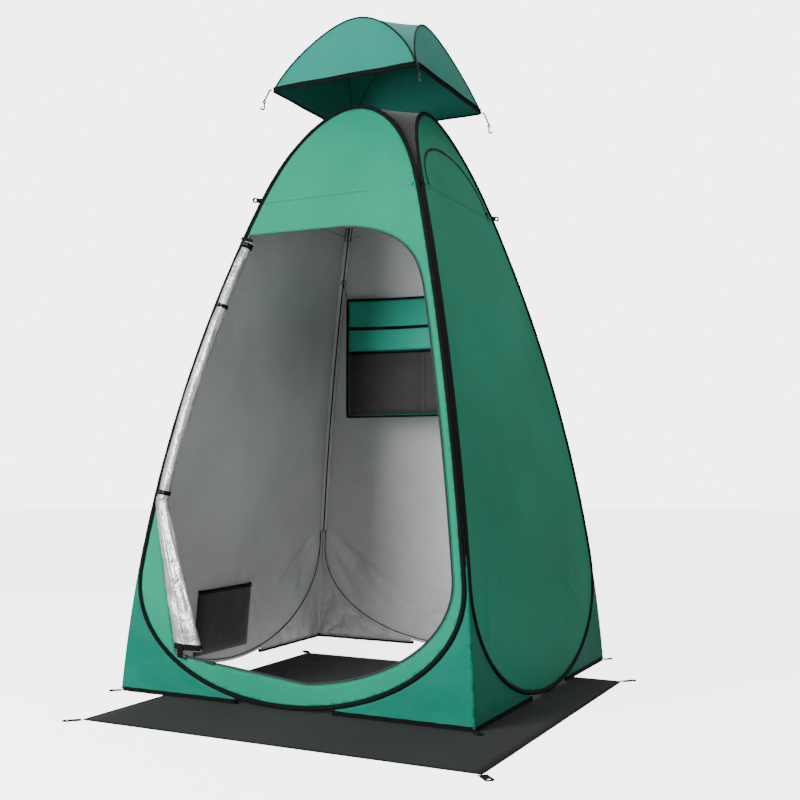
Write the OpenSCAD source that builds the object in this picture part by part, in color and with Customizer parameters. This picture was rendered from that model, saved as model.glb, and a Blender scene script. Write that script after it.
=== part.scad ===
// Pop-up privacy shower tent: four sprung hoops in fabric sleeves carry four bowed walls,
// with corner gussets, a mesh top, a lift-off rain fly, a rolled door and a loose floor mat.
// +Z is up, the door faces -Y, and the origin is the centre of the tent's square on the floor.

/* [Tent] */
// Half the width of the square base
base_half = 600; // [550:10:700]
// Height of the hoops' centre lines at the top
hoop_top = 1895; // [1800:5:2000]
// Radius of the bowed walls, seen from the side
wall_r = 6200; // [5800:100:7000]
// How far the centre of that radius lies below the floor
wall_drop = 357; // [300:1:400]
// Height at which a hoop starts to round off towards the floor
hoop_low = 385; // [340:5:420]
// Height at which a hoop starts to round off towards its top
hoop_high = 1450; // [1400:10:1500]
// Thickness of the tent cloth
cloth_t = 1.0; // [0.8:0.1:1.4]

/* [Hoops] */
// Radius of the sleeve round a hoop
sleeve_r = 6; // [5.5:0.25:6.5]
// Radius of the channel in the sleeve
channel_r = 3.2; // [3:0.1:3.4]
// Radius of the spring steel
wire_r = 1.75; // [1.5:0.05:1.8]
// How far a hoop stays from the corner line
corner_inset = 10.5; // [10:0.5:12]

/* [Door] */
// Height of the top of the door opening
door_top = 1457; // [1430:1:1470]
// Height of the lowest point of the door opening
door_bottom = 80; // [75:1:90]
// Width of the wall left beside the door on its zipped side
door_inset = 48; // [45:1:60]
// Width of the door's zip tape
zip_w = 6; // [4:0.5:7]

/* [Window] */
// Height of the seam that the window flap hangs from
window_sill = 1578; // [1570:1:1590]
// Height of the top of the window
window_top = 1755; // [1740:1:1765]
// Half the width of the window at its sill
window_half = 236; // [220:1:240]

/* [Rain fly] */
// Height of the fly's lower edge when it is on the tent
fly_seat = 1700; // [1695:1:1705]
// Height of the fly from its edge to its top
fly_h = 235; // [225:1:245]
// How far the fly is lifted off
fly_lift = 265; // [200:5:300]
// Clear distance between the tent's wall and the fly's
fly_gap = 10; // [9:0.5:12]

/* [Floor mat] */
// Width and depth of the mat
mat_size = 1200; // [1150:10:1200]
// Thickness of the mat
mat_t = 1.5; // [1:0.1:2]
// Offset of the mat from the tent's centre, to the right
mat_x = 165; // [0:5:180]
// Offset of the mat from the tent's centre, to the front
mat_y = 355; // [0:5:360]

/* [Organiser] */
// Half the width of the hanging organiser
org_half = 320; // [300:5:325]
// Height of the organiser's top edge
org_top = 1340; // [1330:1:1350]
// Height of the organiser from top to bottom
org_h = 450; // [430:5:460]

/* [Hidden] */
$fn = 48;

gap = 0.3;                        // clearance between neighbouring pieces
fit = sleeve_r + gap;             // from a hoop's centre line to the cloth beside it
stand = mat_t + gap;              // the tent stands on the mat
hoop_floor = stand + sleeve_r;    // lowest point of a hoop's centre line
hem_w = 12;                       // binding tape along the foot
hem_t = 3;
hem_from = 165;                   // where the foot of a gusset leaves the hoop
fly_edge = 13;                    // depth of the binding round the fly
gusset_top = 450;
seam_top = 1548;
reach = 800;                      // longer than any half width
web_inset = 9;                    // from a hoop's centre line to the mesh top
steps = 24;                       // bands in the height of a wall
roll_head = 1436;                 // upper end of the rolled door
roll_foot = 600;                  // height where the roll becomes the hanging drape
roll_d = 15;                      // half the roll's thickness
tie_t = 1.2;
tie_gap = 0.4;
roll_side = 19.4;                 // from the wall's corner to the edge of the roll
drape_foot = 140;

// Half width of the tent at height z, a circular arc in side view
function half(z) = base_half - sqrt(wall_r^2 - wall_drop^2) + sqrt(wall_r^2 - (z + wall_drop)^2);
function slope(z) = -(z + wall_drop) / sqrt(wall_r^2 - (z + wall_drop)^2);
function unit(v) = v / norm(v);
// Outward normal of the front wall at height z
function wall_normal(z) = unit([0, -1, -slope(z)]);
// Point of the front wall, from its [x, z]
function on_wall(p, out = 0) = [p[0], -half(p[1]), p[1]] + out * wall_normal(p[1]);
function turn(p, k) =
    [p[0] * cos(90 * k) - p[1] * sin(90 * k), p[0] * sin(90 * k) + p[1] * cos(90 * k), p[2]];

// Right half of an upright egg on the wall, from its foot to its top, as [x, z]
function egg_half(foot, low, high, top, foot_p, top_p, inset, n) = concat(
    [for (i = [n:-1:0]) let (v = sin(90 * i / n), z = low - (low - foot) * v)
        [(half(z) - inset) * sqrt(max(0, 1 - v^foot_p)), z]],
    [for (i = [1:n - 1]) let (z = low + (high - low) * i / n) [half(z) - inset, z]],
    [for (i = [0:n]) let (v = sin(90 * i / n), z = high + (top - high) * v)
        [(half(z) - inset) * sqrt(max(0, 1 - v^top_p)), z]]);
function mirrored(pts) = [for (i = [len(pts) - 2:-1:1]) [-pts[i][0], pts[i][1]]];
// A closed outline moved outwards by d along its own normals
function shift(pts, d) = [for (i = [0:len(pts) - 1])
    let (a = pts[(i + len(pts) - 1) % len(pts)], c = pts[(i + 1) % len(pts)], t = unit(c - a))
    pts[i] + d * [t[1], -t[0]]];

hoop_side = egg_half(hoop_floor, hoop_low, hoop_high, hoop_top, 2, 4.5, corner_inset, 10);
hoop_line = concat(hoop_side, mirrored(hoop_side));
door_side = [for (p = egg_half(door_bottom, 400, 1150, door_top, 2, 4.3, door_inset, 10))
    if (p[0] > 60 || p[1] > 1000) p];
hem_side = 14;                    // the door's sewn side runs under the hoop's sleeve
sewn_head = [-half(roll_foot) + hem_side, roll_foot];
sewn_foot = [-394, 129];
door_line = concat(door_side,
    [[-half(door_top) + hem_side, door_top + 4]],
    [for (i = [0:8]) let (z = 1430 - (1430 - roll_foot) * i / 8) [-half(z) + hem_side, z]],
    [sewn_foot]);
function sewn_x(z) =
    sewn_foot[0] + (sewn_head[0] - sewn_foot[0]) * (z - sewn_foot[1]) / (sewn_head[1] - sewn_foot[1]);
window_side = [for (i = [0:12]) let (v = sin(90 * i / 12))
    [window_half * sqrt(1 - v^2.2), window_sill + (window_top - window_sill) * v]];
window_line = concat(window_side, [for (i = [11:-1:0]) [-window_side[i][0], window_side[i][1]]]);

// Tube along a list of centres, each with its own sideways and outward radius
module tube(centres, across, outward, rx, ry, sides, closed) {
    n = len(centres);
    points = [for (i = [0:n - 1]) for (j = [0:sides - 1]) let (a = 360 * j / sides)
        centres[i] + rx[i] * cos(a) * across[i] + ry[i] * sin(a) * outward[i]];
    rings = closed ? n : n - 1;
    skin = [for (i = [0:rings - 1]) for (j = [0:sides - 1])
        let (a = i * sides, c = ((i + 1) % n) * sides, k = (j + 1) % sides)
        each [[a + j, a + k, c + k], [a + j, c + k, c + j]]];
    ends = closed ? [] : [[for (j = [sides - 1:-1:0]) j], [for (j = [0:sides - 1]) (n - 1) * sides + j]];
    polyhedron(points, concat(skin, ends));
}

// Round tube that follows a closed outline of the front wall
module wall_loop(line, r, sides) {
    n = len(line);
    centres = [for (p = line) on_wall(p)];
    tangents = [for (i = [0:n - 1]) unit(centres[(i + 1) % n] - centres[(i + n - 1) % n])];
    outward = [for (p = line) wall_normal(p[1])];
    across = [for (i = [0:n - 1]) unit(cross(tangents[i], outward[i]))];
    radii = [for (p = line) r];
    tube(centres, across, [for (i = [0:n - 1]) cross(across[i], tangents[i])], radii, radii, sides, true);
}

// Round tube along open points, held near the given direction
module line_tube(centres, side, r, sides) {
    n = len(centres);
    tangents = [for (i = [0:n - 1]) unit(centres[min(i + 1, n - 1)] - centres[max(i - 1, 0)])];
    across = [for (t = tangents) unit(cross(t, side))];
    radii = [for (p = centres) r];
    tube(centres, across, [for (i = [0:n - 1]) cross(across[i], tangents[i])], radii, radii, sides, false);
}

module side(k) {
    rotate([0, 0, 90 * k]) children();
}

// Curved sheet of the front wall between two heights, from inside to outside of the wall's face
module wall_sheet(low, high, inside, outside) {
    zs = [for (i = [0:steps]) low + (high - low) * i / steps];
    rotate([90, 0, 90]) linear_extrude(2 * reach, center = true)
        polygon(concat([for (z = zs) [-half(z) - outside, z]],
            [for (i = [steps:-1:0]) [-half(zs[i]) + inside, zs[i]]]));
}

// Everything in front of the tent's middle within an outline of the front wall
module prism(line) {
    rotate([90, 0, 0]) linear_extrude(reach) polygon(line);
}

module bowed_block(low, high, n, inward, over) {
    zs = [for (i = [0:n]) low - over + (high - low + 2 * over) * i / n];
    intersection_for (k = [0, 1])
        rotate([90, 0, 90 * k]) linear_extrude(2 * reach, center = true)
            polygon(concat([for (z = zs) [half(z) - inward, z]],
                [for (i = [n:-1:0]) [-half(zs[i]) + inward, zs[i]]]));
}

// Wall cloth outside the hoops at the front right corner
module corner_cloth(low, high, n, from) {
    difference() {
        bowed_block(low, high, n, 0, 0);
        bowed_block(low, high, n, cloth_t, 1);
        translate([-reach, -reach, 0]) cube([reach + from, 2 * reach, 2 * reach]);
        translate([-reach, -from, 0]) cube([2 * reach, 2 * reach, 2 * reach]);
        prism(shift(hoop_line, fit));
        side(1) prism(shift(hoop_line, fit));
    }
}

module spring_hoop() {
    color("silver") wall_loop(hoop_line, wire_r, 6);
}

module hoop_sleeve() {
    color([0.05, 0.07, 0.07]) difference() {
        wall_loop(hoop_line, sleeve_r, 8);
        wall_loop(hoop_line, channel_r, 6);
    }
}

// Crimped tubes that close each hoop where it meets the floor
module hoop_ferrules() {
    length = 14;
    wall = 0.6;
    color("dimgray") for (k = [0:3]) side(k)
        translate([0, -half(hoop_floor), hoop_floor]) rotate([0, 90, 0]) difference() {
            cylinder(h = length, r = wire_r + wall, center = true);
            cylinder(h = length + 2, r = wire_r, center = true);
        }
}

module plain_panel() {
    intersection() {
        wall_sheet(0, hoop_top + 20, cloth_t, 0);
        prism(shift(hoop_line, -fit));
    }
}

module front_panel() {
    color("seagreen") difference() {
        plain_panel();
        prism(shift(door_line, zip_w + gap));
    }
}

module right_panel() {
    color("seagreen") side(1) difference() {
        plain_panel();
        prism(shift(window_line, 3));
    }
}

module back_panel() {
    color("seagreen") side(2) plain_panel();
}

module left_panel() {
    color("seagreen") side(3) plain_panel();
}

module gusset(k) {
    color("seagreen") side(k) corner_cloth(stand + hem_w + gap, gusset_top, 8, hem_from);
}

module corner_seams() {
    color("black") for (k = [0:3]) side(k)
        corner_cloth(gusset_top + gap, seam_top, 16, hem_from);
}

module hem_binding() {
    outer = base_half + 1;
    inner = outer - hem_t;
    color("black") for (k = [0:3]) side(k) translate([0, 0, stand]) linear_extrude(hem_w)
        polygon([[hem_from, -outer], [outer, -outer], [outer, -hem_from],
            [inner, -hem_from], [inner, -inner], [hem_from, -inner]]);
}

// Mesh stretched from hoop to hoop across each corner and flat across the top
module top_mesh() {
    rise = [for (p = hoop_side) if (p[1] > seam_top) p];
    n = len(rise);
    focus = [0, 0, 1200];
    outer = [for (k = [0:3]) for (e = [0, 1]) for (p = rise)
        turn([(e == 0 ? 1 : -1) * max(p[0], 3), web_inset - half(p[1]), p[1]], k + e)];
    inner = [for (p = outer) p - cloth_t * unit(p - focus)];
    total = len(outer);
    faces_out = [for (k = [0:3]) for (i = [0:n - 2]) let (a = 2 * k * n + i, c = a + n)
        each [[a, c + 1, c], [a, a + 1, c + 1]]];
    crown = [for (m = [7:-1:0]) m * n + n - 1];
    edges = [for (k = [0:3]) let (a = 2 * k * n, c = a + n, before = (a + total - n) % total) each concat(
        [for (i = [0:n - 2]) [a + i, a + i + 1]], [for (i = [n - 1:-1:1]) [c + i, c + i - 1]],
        [[c, a]], [[a + n - 1, before + n - 1]])];
    color("black") polyhedron(concat(outer, inner), concat(faces_out, [crown],
        [for (f = faces_out) [f[2] + total, f[1] + total, f[0] + total]],
        [[for (m = [0:7]) total + m * n + n - 1]],
        [for (e = edges) each [[e[1], e[0], e[0] + total], [e[1], e[0] + total, e[1] + total]]]));
}

// Flat webbing tab with a round eye, lying on its side, from the origin along +X
module eye_tab(length, width, thick, eye_r) {
    linear_extrude(thick) difference() {
        union() {
            translate([0, -width / 2]) square([length - width / 2, width]);
            translate([length - width / 2, 0]) circle(width / 2);
        }
        translate([length - width / 2, 0]) circle(eye_r);
    }
}

module peg_loops() {
    color("black") for (k = [0:3]) side(k)
        translate([base_half + 1.5, -base_half - 1.5, stand]) rotate([0, 0, -45])
            eye_tab(36, 20, 2, 5);
}

// Webbing tabs that pass out between the hoops, for the fly's hooks
module fly_tabs() {
    z = 1588;
    root = half(z) - 8;
    color("black") for (k = [0:3]) side(k)
        translate([root, -root, z]) rotate([90, 0, -45])
            translate([0, 0, -1]) eye_tab(36, 16, 2, 4.5);
}

hang_z = 1420;                    // height of the organiser's tabs
hang = half(hang_z) - 13;         // their eyes, from the middle of the tent, both ways
hang_root = half(hang_z + 8) - 1.8;
hang_tab = [(hang_root - hang) * sqrt(2) + 8, 16, 2, 5];   // length, width, thickness and eye

// Tabs in the two back corners that the organiser hangs from
module inner_tabs() {
    color("black") for (k = [1, 2]) side(k)
        translate([hang_root, -hang_root, hang_z]) rotate([90, 0, 135]) translate([0, 0, -hang_tab[2] / 2])
            eye_tab(hang_tab[0], hang_tab[1], hang_tab[2], hang_tab[3]);
}

module door_zip_tape() {
    color("darkslategray") intersection() {
        wall_sheet(60, door_top + 20, cloth_t, 0.6);
        prism(shift(hoop_line, -fit));
        difference() {
            prism(shift(door_line, zip_w));
            prism(door_line);
        }
    }
}

// Slider and pull of a zip, its track along +X and its back on the XY plane
module zip_slider() {
    translate([-7, -4.5, 0]) cube([14, 9, 3]);
    translate([2, -2.5, 3]) cube([4, 5, 2.5]);
    translate([2, 0, 4]) rotate([0, 0, 180]) eye_tab(30, 8, 1.5, 2);
}

// Stands a piece whose back is on the XY plane against the front wall at height z
module against_wall(p, out) {
    translate(on_wall(p, out)) rotate([atan(slope(p[1])), 0, 0]) rotate([90, 0, 0]) children();
}

module door_zip_slider() {
    run = unit(door_side[0] - sewn_foot);
    at = sewn_foot + 140 * run + zip_w / 2 * [run[1], -run[0]];
    color("black") against_wall(at, 0.6 + gap) rotate([0, 0, atan2(run[1], run[0])]) zip_slider();
}

// Half the width of the rolled door at height z
function roll_w(z) = 18 + 3 * (roll_head - z) / (roll_head - roll_foot);
function roll_at(z) = on_wall([-half(z) + roll_side + roll_w(z), z], 3);
function roll_run(z) = unit([-slope(z), -slope(z), 1]);
function roll_across(z) = unit([1, 0, slope(z)]);

// The door cloth, rolled up beside the left leg of the front hoop
module door_roll() {
    zs = [for (i = [0:16]) roll_head - (roll_head - roll_foot - 4) * i / 16];
    wide = [for (z = zs) roll_w(z)];
    color("lightgray") tube([for (z = zs) roll_at(z)], [for (z = zs) roll_across(z)],
        [for (z = zs) cross(roll_across(z), roll_run(z))], wide, [for (w = wide) roll_d], 12, false);
}

// Strap round a rolled cloth that is 2*rx wide and 2*ry thick
module strap_ring(rx, ry, wide) {
    function oval(d) = [for (i = [0:23]) [(rx + d) * cos(15 * i), (ry + d) * sin(15 * i)]];
    linear_extrude(wide, center = true) difference() {
        polygon(oval(tie_gap + tie_t));
        polygon(oval(tie_gap));
    }
}

module door_roll_ties() {
    color("black") for (tie = [[1424, 18], [1222, 12], [618, 14]]) let (z = tie[0], s = slope(z))
        translate(roll_at(z)) rotate([asin(s / sqrt(1 + 2 * s^2)), atan(-s), 0]) {
            strap_ring(roll_w(z), roll_d, tie[1]);
            translate([4, -roll_d - 4, 0]) rotate([0, 90, 0]) cylinder(h = 24, r = 3.5, center = true);
        }
}

// Half the width, half the thickness and the centre of the drape, from its head to its foot
function drape_w(t) = 20 + 30 * t;
function drape_d(t) = 15 - 5 * t;
function drape_z(t) = roll_foot - 4 - (roll_foot - 4 - drape_foot) * t;
function drape_at(t) = on_wall([sewn_x(drape_z(t)) + 2 + drape_w(t), drape_z(t)], 3);

// The foot of the door cloth, which fans out below the lowest roll tie
module door_drape() {
    ts = [for (i = [0:10]) i / 10];
    color("lightgray") tube([for (t = ts) drape_at(t)], [for (t = ts) [1, 0, -0.08]],
        [for (t = ts) [0, -1, 0]], [for (t = ts) drape_w(t)], [for (t = ts) drape_d(t)], 12, false);
}

module door_drape_tie() {
    t = 0.97;
    color("black") translate(drape_at(t)) {
        strap_ring(drape_w(t) + 1, drape_d(t) + 1, 12);
        translate([-31, -drape_d(t) - 5, -33]) cube([24, 4, 36]);
    }
}

module window_zip_tape() {
    color("black") side(1) intersection() {
        wall_sheet(window_sill, window_top + 10, cloth_t, 0.6);
        difference() {
            prism(shift(window_line, 2.7));
            prism(window_line);
        }
    }
}

module window_flap() {
    narrowed = [for (p = window_line) [0.99 * p[0], p[1]]];
    color("mediumseagreen") side(1) intersection() {
        wall_sheet(window_sill + 2, window_top, cloth_t, 0);
        prism(shift(narrowed, -2.2));
    }
}

module window_zip_slider() {
    color("black") side(1) against_wall([window_half + 5, window_sill + 12], 0.6 + gap)
        rotate([0, 0, 90]) zip_slider();
}

// Open-topped pouch standing on the XY plane against y = 0, which opens upwards
module pouch(w, depth, h, t) {
    difference() {
        translate([-w / 2, -depth, 0]) cube([w, depth, h]);
        translate([-w / 2 + t, -depth + t, t]) cube([w - 2 * t, depth, h]);
    }
}

pocket_z = 48;                    // foot of the wall pocket, which leans with the wall
pocket_h = 214;
pocket_w = 320;
pocket_d = 14;

module at_wall_pocket() {
    side(3) translate([85, -half(pocket_z) + 3, pocket_z])
        rotate([atan(slope(pocket_z + pocket_h / 2)), 0, 0]) rotate([0, 0, 180]) children();
}

module wall_pocket() {
    color("black") at_wall_pocket() pouch(pocket_w, pocket_d, pocket_h, 1.2);
}

module wall_pocket_binding() {
    t = 2;
    color("black") at_wall_pocket() translate([0, 0, pocket_h + gap]) difference() {
        translate([-pocket_w / 2, -pocket_d, 0]) cube([pocket_w, pocket_d, 12]);
        translate([-pocket_w / 2 + t, -pocket_d + t, -1]) cube([pocket_w - 2 * t, pocket_d, 14]);
    }
}

org_y = hang + 4;                 // plane of the organiser's back sheet
org_rows = [110, 90];             // heights of its two cloth bands
pouch_depth = 12;

module organiser_sheet() {
    color("mediumseagreen") translate([-org_half, org_y, org_top - org_h])
        cube([2 * org_half, 1.5, org_h]);
}

module organiser_top_pocket() {
    color("mediumseagreen") translate([0, org_y - gap, org_top - org_rows[0] - org_rows[1]])
        pouch(2 * org_half - 12, pouch_depth, org_rows[1] - 6, 1.5);
}

module organiser_mesh_pocket() {
    w = org_half - 6;
    h = org_h - org_rows[0] - org_rows[1] - 14;
    color("black") for (e = [-1, 1])
        translate([e * (w / 2 + 0.3), org_y - gap, org_top - org_h + 6]) pouch(w, pouch_depth, h, 1.2);
}

module organiser_binding() {
    color("black") translate([0, org_y + 0.75, org_top - org_h / 2]) rotate([90, 0, 0])
        linear_extrude(4, center = true) difference() {
            square([2 * org_half + 10, org_h + 10], center = true);
            square([2 * org_half + 0.6, org_h + 0.6], center = true);
        }
}

// Rings through the inner tabs, and the short cords that carry the organiser's top corners
module organiser_hooks() {
    ring_r = 9;
    bar = 1.5;
    ring_z = hang_z - hang_tab[3] + bar + 1 - ring_r;
    color("black") for (e = [-1, 1]) {
        line_tube([[e * (org_half + 3), org_y + 0.75, org_top + 5.8],
            [e * (org_half + 8), org_y, org_top + 20], [e * (hang - 4), org_y - 2, ring_z - 24],
            [e * hang, hang, ring_z - ring_r - bar]], [0, 1, 0], bar, 8);
        translate([e * hang, hang, ring_z]) rotate([90, 0, -45 * e]) rotate_extrude()
            translate([ring_r, 0]) circle(bar, $fn = 24);
    }
}

fly_low = fly_seat + fly_lift;
function fly_half(z) = half(z - fly_lift) + fly_gap;
fly_foot = fly_low + fly_edge + gap;
fly_arch = [for (i = [0:14]) let (v = sin(90 * i / 14), z = fly_foot + (fly_low + fly_h - fly_foot) * v)
    [max(2, (fly_half(z) - 2) * sqrt(max(0, 1 - v^2))), z]];

// Eight-sided shell, square at its edge and a diamond at its top
module fly_canopy() {
    n = len(fly_arch);
    function ring(w, b, z) = [for (k = [0:3]) for (e = [-1, 1]) turn([e * w, -b, z], k)];
    outer = [for (p = fly_arch) each ring(p[0], fly_half(p[1]), p[1])];
    inner = [for (i = [0:n - 1]) let (p = fly_arch[i])
        each ring(p[0], fly_half(p[1]) - cloth_t, p[1] - cloth_t * i / (n - 1))];
    m = 8 * n;
    shell = [for (i = [0:n - 2]) for (j = [0:7])
        let (a = 8 * i + j, c = 8 * i + (j + 1) % 8) each [[a, c + 8, c], [a, a + 8, c + 8]]];
    color("seagreen") polyhedron(concat(outer, inner), concat(shell,
        [for (f = shell) [f[2] + m, f[1] + m, f[0] + m]],
        [[for (j = [7:-1:0]) m - 8 + j]], [[for (j = [0:7]) 2 * m - 8 + j]],
        [for (j = [0:7]) let (k = (j + 1) % 8) each [[j, k, k + m], [j, k + m, j + m]]]));
}

module fly_arch_piping() {
    path = concat(fly_arch, [for (i = [len(fly_arch) - 1:-1:0]) [-fly_arch[i][0], fly_arch[i][1]]]);
    color("darkslategray") for (k = [0:3]) side(k)
        line_tube([for (p = path) [p[0], -fly_half(p[1]) - 2.2, p[1] + 1.6]], [0, 1, 0], 1.5, 6);
}

module fly_edge_binding() {
    b = fly_half(fly_low);
    color("black") translate([0, 0, fly_low]) linear_extrude(fly_edge) difference() {
        square(2 * b + 2, center = true);
        square(2 * b - 2, center = true);
    }
}

fly_corner = fly_half(fly_low) + 1.3;
hook_eye = [fly_corner + 19, -fly_corner - 19, fly_low - 40];   // pivot of a fly hook

// Short elastics that slant out from the fly's corners
module fly_elastics() {
    start = [fly_corner + 1.2, -fly_corner - 1.2, fly_low + 6];
    color("black") for (k = [0:3]) side(k)
        line_tube([start, start + [6, -6, -4], hook_eye + [-3, 3, 12], hook_eye + [0, 0, 6]],
            [1, 1, 0], 1.5, 8);
}

module fly_hook(k) {
    bar = 1.6;
    color("black") side(k) translate(hook_eye) rotate([90, 0, -45]) {
        rotate_extrude() translate([3.6, 0]) circle(bar, $fn = 24);
        translate([0, -20, 0]) rotate([90, 0, 0])
            translate([0, 0, -15.2]) cylinder(h = 15.2, r = bar, $fn = 24);
        translate([6, -20, 0]) rotate([0, 0, 180]) rotate_extrude(angle = 180)
            translate([6, 0]) circle(bar, $fn = 24);
    }
}

module on_mat() {
    translate([mat_x, -mat_y, 0]) children();
}

module floor_mat() {
    color([0.16, 0.16, 0.17]) on_mat() linear_extrude(mat_t)
        square(mat_size - 24, center = true);
}

module mat_binding() {
    color("black") on_mat() linear_extrude(mat_t) difference() {
        square(mat_size, center = true);
        square(mat_size - 23.6, center = true);
    }
}

module mat_tabs() {
    color("black") on_mat() for (k = [0:3]) side(k)
        translate([mat_size / 2 + 0.4, -mat_size / 2 - 0.4, 0]) rotate([0, 0, -45])
            eye_tab(50, 24, mat_t, 6);
}

spring_hoop();  // front_spring_hoop
side(1) spring_hoop();  // right_spring_hoop
side(2) spring_hoop();  // back_spring_hoop
side(3) spring_hoop();  // left_spring_hoop
hoop_ferrules();
hoop_sleeve();  // front_hoop_sleeve
side(1) hoop_sleeve();  // right_hoop_sleeve
side(2) hoop_sleeve();  // back_hoop_sleeve
side(3) hoop_sleeve();  // left_hoop_sleeve
front_panel();
right_panel();
back_panel();
left_panel();
gusset(0);  // front_right_gusset
gusset(1);  // back_right_gusset
gusset(2);  // back_left_gusset
gusset(3);  // front_left_gusset
corner_seams();
hem_binding();
top_mesh();
peg_loops();
fly_tabs();
inner_tabs();
door_zip_tape();
door_zip_slider();
door_roll();
door_roll_ties();
door_drape();
door_drape_tie();
window_zip_tape();
window_flap();
window_zip_slider();
wall_pocket();
wall_pocket_binding();
organiser_sheet();
organiser_top_pocket();
organiser_mesh_pocket();
organiser_binding();
organiser_hooks();
fly_canopy();
fly_arch_piping();
fly_edge_binding();
fly_elastics();
fly_hook(0);  // fly_hook_front_right
fly_hook(1);  // fly_hook_back_right
fly_hook(2);  // fly_hook_back_left
fly_hook(3);  // fly_hook_front_left
floor_mat();
mat_binding();
mat_tabs();
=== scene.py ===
"""Looks of a pop-up privacy shower tent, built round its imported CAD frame. Metres, +Z up, door at -Y."""
import math
import random

import bmesh
import bpy
import numpy as np
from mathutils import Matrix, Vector, noise
from mathutils.geometry import delaunay_2d_cdt


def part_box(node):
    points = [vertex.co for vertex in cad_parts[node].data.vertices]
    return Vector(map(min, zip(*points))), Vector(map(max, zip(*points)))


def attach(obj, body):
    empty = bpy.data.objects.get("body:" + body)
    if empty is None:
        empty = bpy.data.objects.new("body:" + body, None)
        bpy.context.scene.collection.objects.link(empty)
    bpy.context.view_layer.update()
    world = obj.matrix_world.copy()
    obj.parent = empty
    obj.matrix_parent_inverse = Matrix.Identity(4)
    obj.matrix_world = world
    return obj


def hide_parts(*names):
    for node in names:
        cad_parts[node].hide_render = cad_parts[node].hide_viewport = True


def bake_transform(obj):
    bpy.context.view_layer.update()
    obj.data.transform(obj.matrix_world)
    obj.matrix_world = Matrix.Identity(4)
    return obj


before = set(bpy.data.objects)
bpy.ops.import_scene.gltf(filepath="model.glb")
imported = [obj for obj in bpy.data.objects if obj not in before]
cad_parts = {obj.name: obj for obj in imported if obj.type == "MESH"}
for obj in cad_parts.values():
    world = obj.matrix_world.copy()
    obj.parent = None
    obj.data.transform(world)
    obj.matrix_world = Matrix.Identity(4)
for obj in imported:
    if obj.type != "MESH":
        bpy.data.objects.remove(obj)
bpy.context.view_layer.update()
SIDES = ("front", "right", "back", "left")
CORNERS = ("front_right", "back_right", "back_left", "front_left")

# ---------------------------------------------------------------- driving dimensions

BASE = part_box("hem_binding")[1].x - 0.001      # half the width of the foot
WALL_R = 6.2                                   # radius of a bowed wall in side view
WALL_DROP = 0.357                              # its centre lies this far below the floor
HOOP_FOOT = 0.0078
HOOP_LOW = 0.385
HOOP_HIGH = 1.45
HOOP_TOP = 1.895
HOOP_INSET = 0.0105
SLEEVE_R = 0.006
SEAM_Z = 1.578                                 # cross seam, and sill of the window
DOOR_TOP = 1.457
DOOR_FOOT = 0.080
DOOR_INSET = 0.048
DOOR_HEM_SIDE = 0.014
ROLL_FOOT = 0.600
ROLL_HEAD = 1.436
SEWN_FOOT = (-0.394, 0.129)
SEWN_PROUD = 0.0194                            # the roll's inner edge, from the front corner
WINDOW_TOP = 1.755
WINDOW_HALF = 0.236
CLOTH = 0.0009
GUSSET_END = 0.165                             # each gusset's foot starts this far from the wall's middle
HANG_Z = 1.42                                  # height of the eyes that the organiser hangs from


def half(z):
    """Half the tent's width at height z."""
    z = np.asarray(z, float)
    return BASE - math.sqrt(WALL_R**2 - WALL_DROP**2) + np.sqrt(WALL_R**2 - (z + WALL_DROP) ** 2)


HANG = float(half(HANG_Z)) - 0.013


def slope(z):
    """How fast half the width changes with height."""
    z = np.asarray(z, float)
    return -(z + WALL_DROP) / np.sqrt(WALL_R**2 - (z + WALL_DROP) ** 2)


def turn(points, side):
    """Points of the front wall's frame, turned to another side of the tent."""
    p = np.array(points, float).reshape(-1, 3)
    c, s = ((1, 0), (0, 1), (-1, 0), (0, -1))[side % 4]
    return np.stack([p[:, 0] * c - p[:, 1] * s, p[:, 0] * s + p[:, 1] * c, p[:, 2]], 1)


def unit(v):
    v = np.asarray(v, float)
    return v / np.linalg.norm(v)


def outward(k):
    """Level direction out of corner k of the tent."""
    return turn([[1, -1, 0]], k)[0]


def sideways(k):
    """Level direction across corner k."""
    return turn([[1, 1, 0]], k)[0]


def on_wall(flat, side=0, out=0.0):
    """Points [x, z] laid on a wall, out metres proud of it."""
    flat = np.asarray(flat, float).reshape(-1, 2)
    x, z = flat[:, 0], flat[:, 1]
    s = slope(z)
    n = np.sqrt(1 + s * s)
    out = np.broadcast_to(out, z.shape)
    return turn(np.stack([x, -half(z) - out / n, z - out * s / n], 1), side)


def egg_half(foot, low, high, top, foot_p, top_p, inset, n):
    """Right half of an upright egg from its foot to its top, as [x, z]."""
    v = np.sin(np.linspace(0, math.pi / 2, n + 1))
    z_low = low - (low - foot) * v[::-1]
    z_mid = np.linspace(low, high, n * 2)[1:-1]
    z_top = high + (top - high) * v
    w_low = np.clip(1 - v[::-1] ** foot_p, 0, 1) ** 0.5
    w_top = np.clip(1 - v**top_p, 0, 1) ** 0.5
    z = np.concatenate([z_low, z_mid, z_top])
    w = np.concatenate([w_low, np.ones(len(z_mid)), w_top])
    return np.stack([(half(z) - inset) * w, z], 1)


def with_mirror(right):
    left = right[-2:0:-1] * (-1, 1)
    return np.concatenate([right, left])


def hoop_outline(n=36):
    side = egg_half(HOOP_FOOT, HOOP_LOW, HOOP_HIGH, HOOP_TOP, 2, 4.5, HOOP_INSET, n)
    return with_mirror(side)


def shifted(outline, d):
    """A closed outline moved outwards by d."""
    t = np.roll(outline, -1, 0) - np.roll(outline, 1, 0)
    t /= np.linalg.norm(t, axis=1)[:, None]
    return outline + d * np.stack([t[:, 1], -t[:, 0]], 1)


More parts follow.
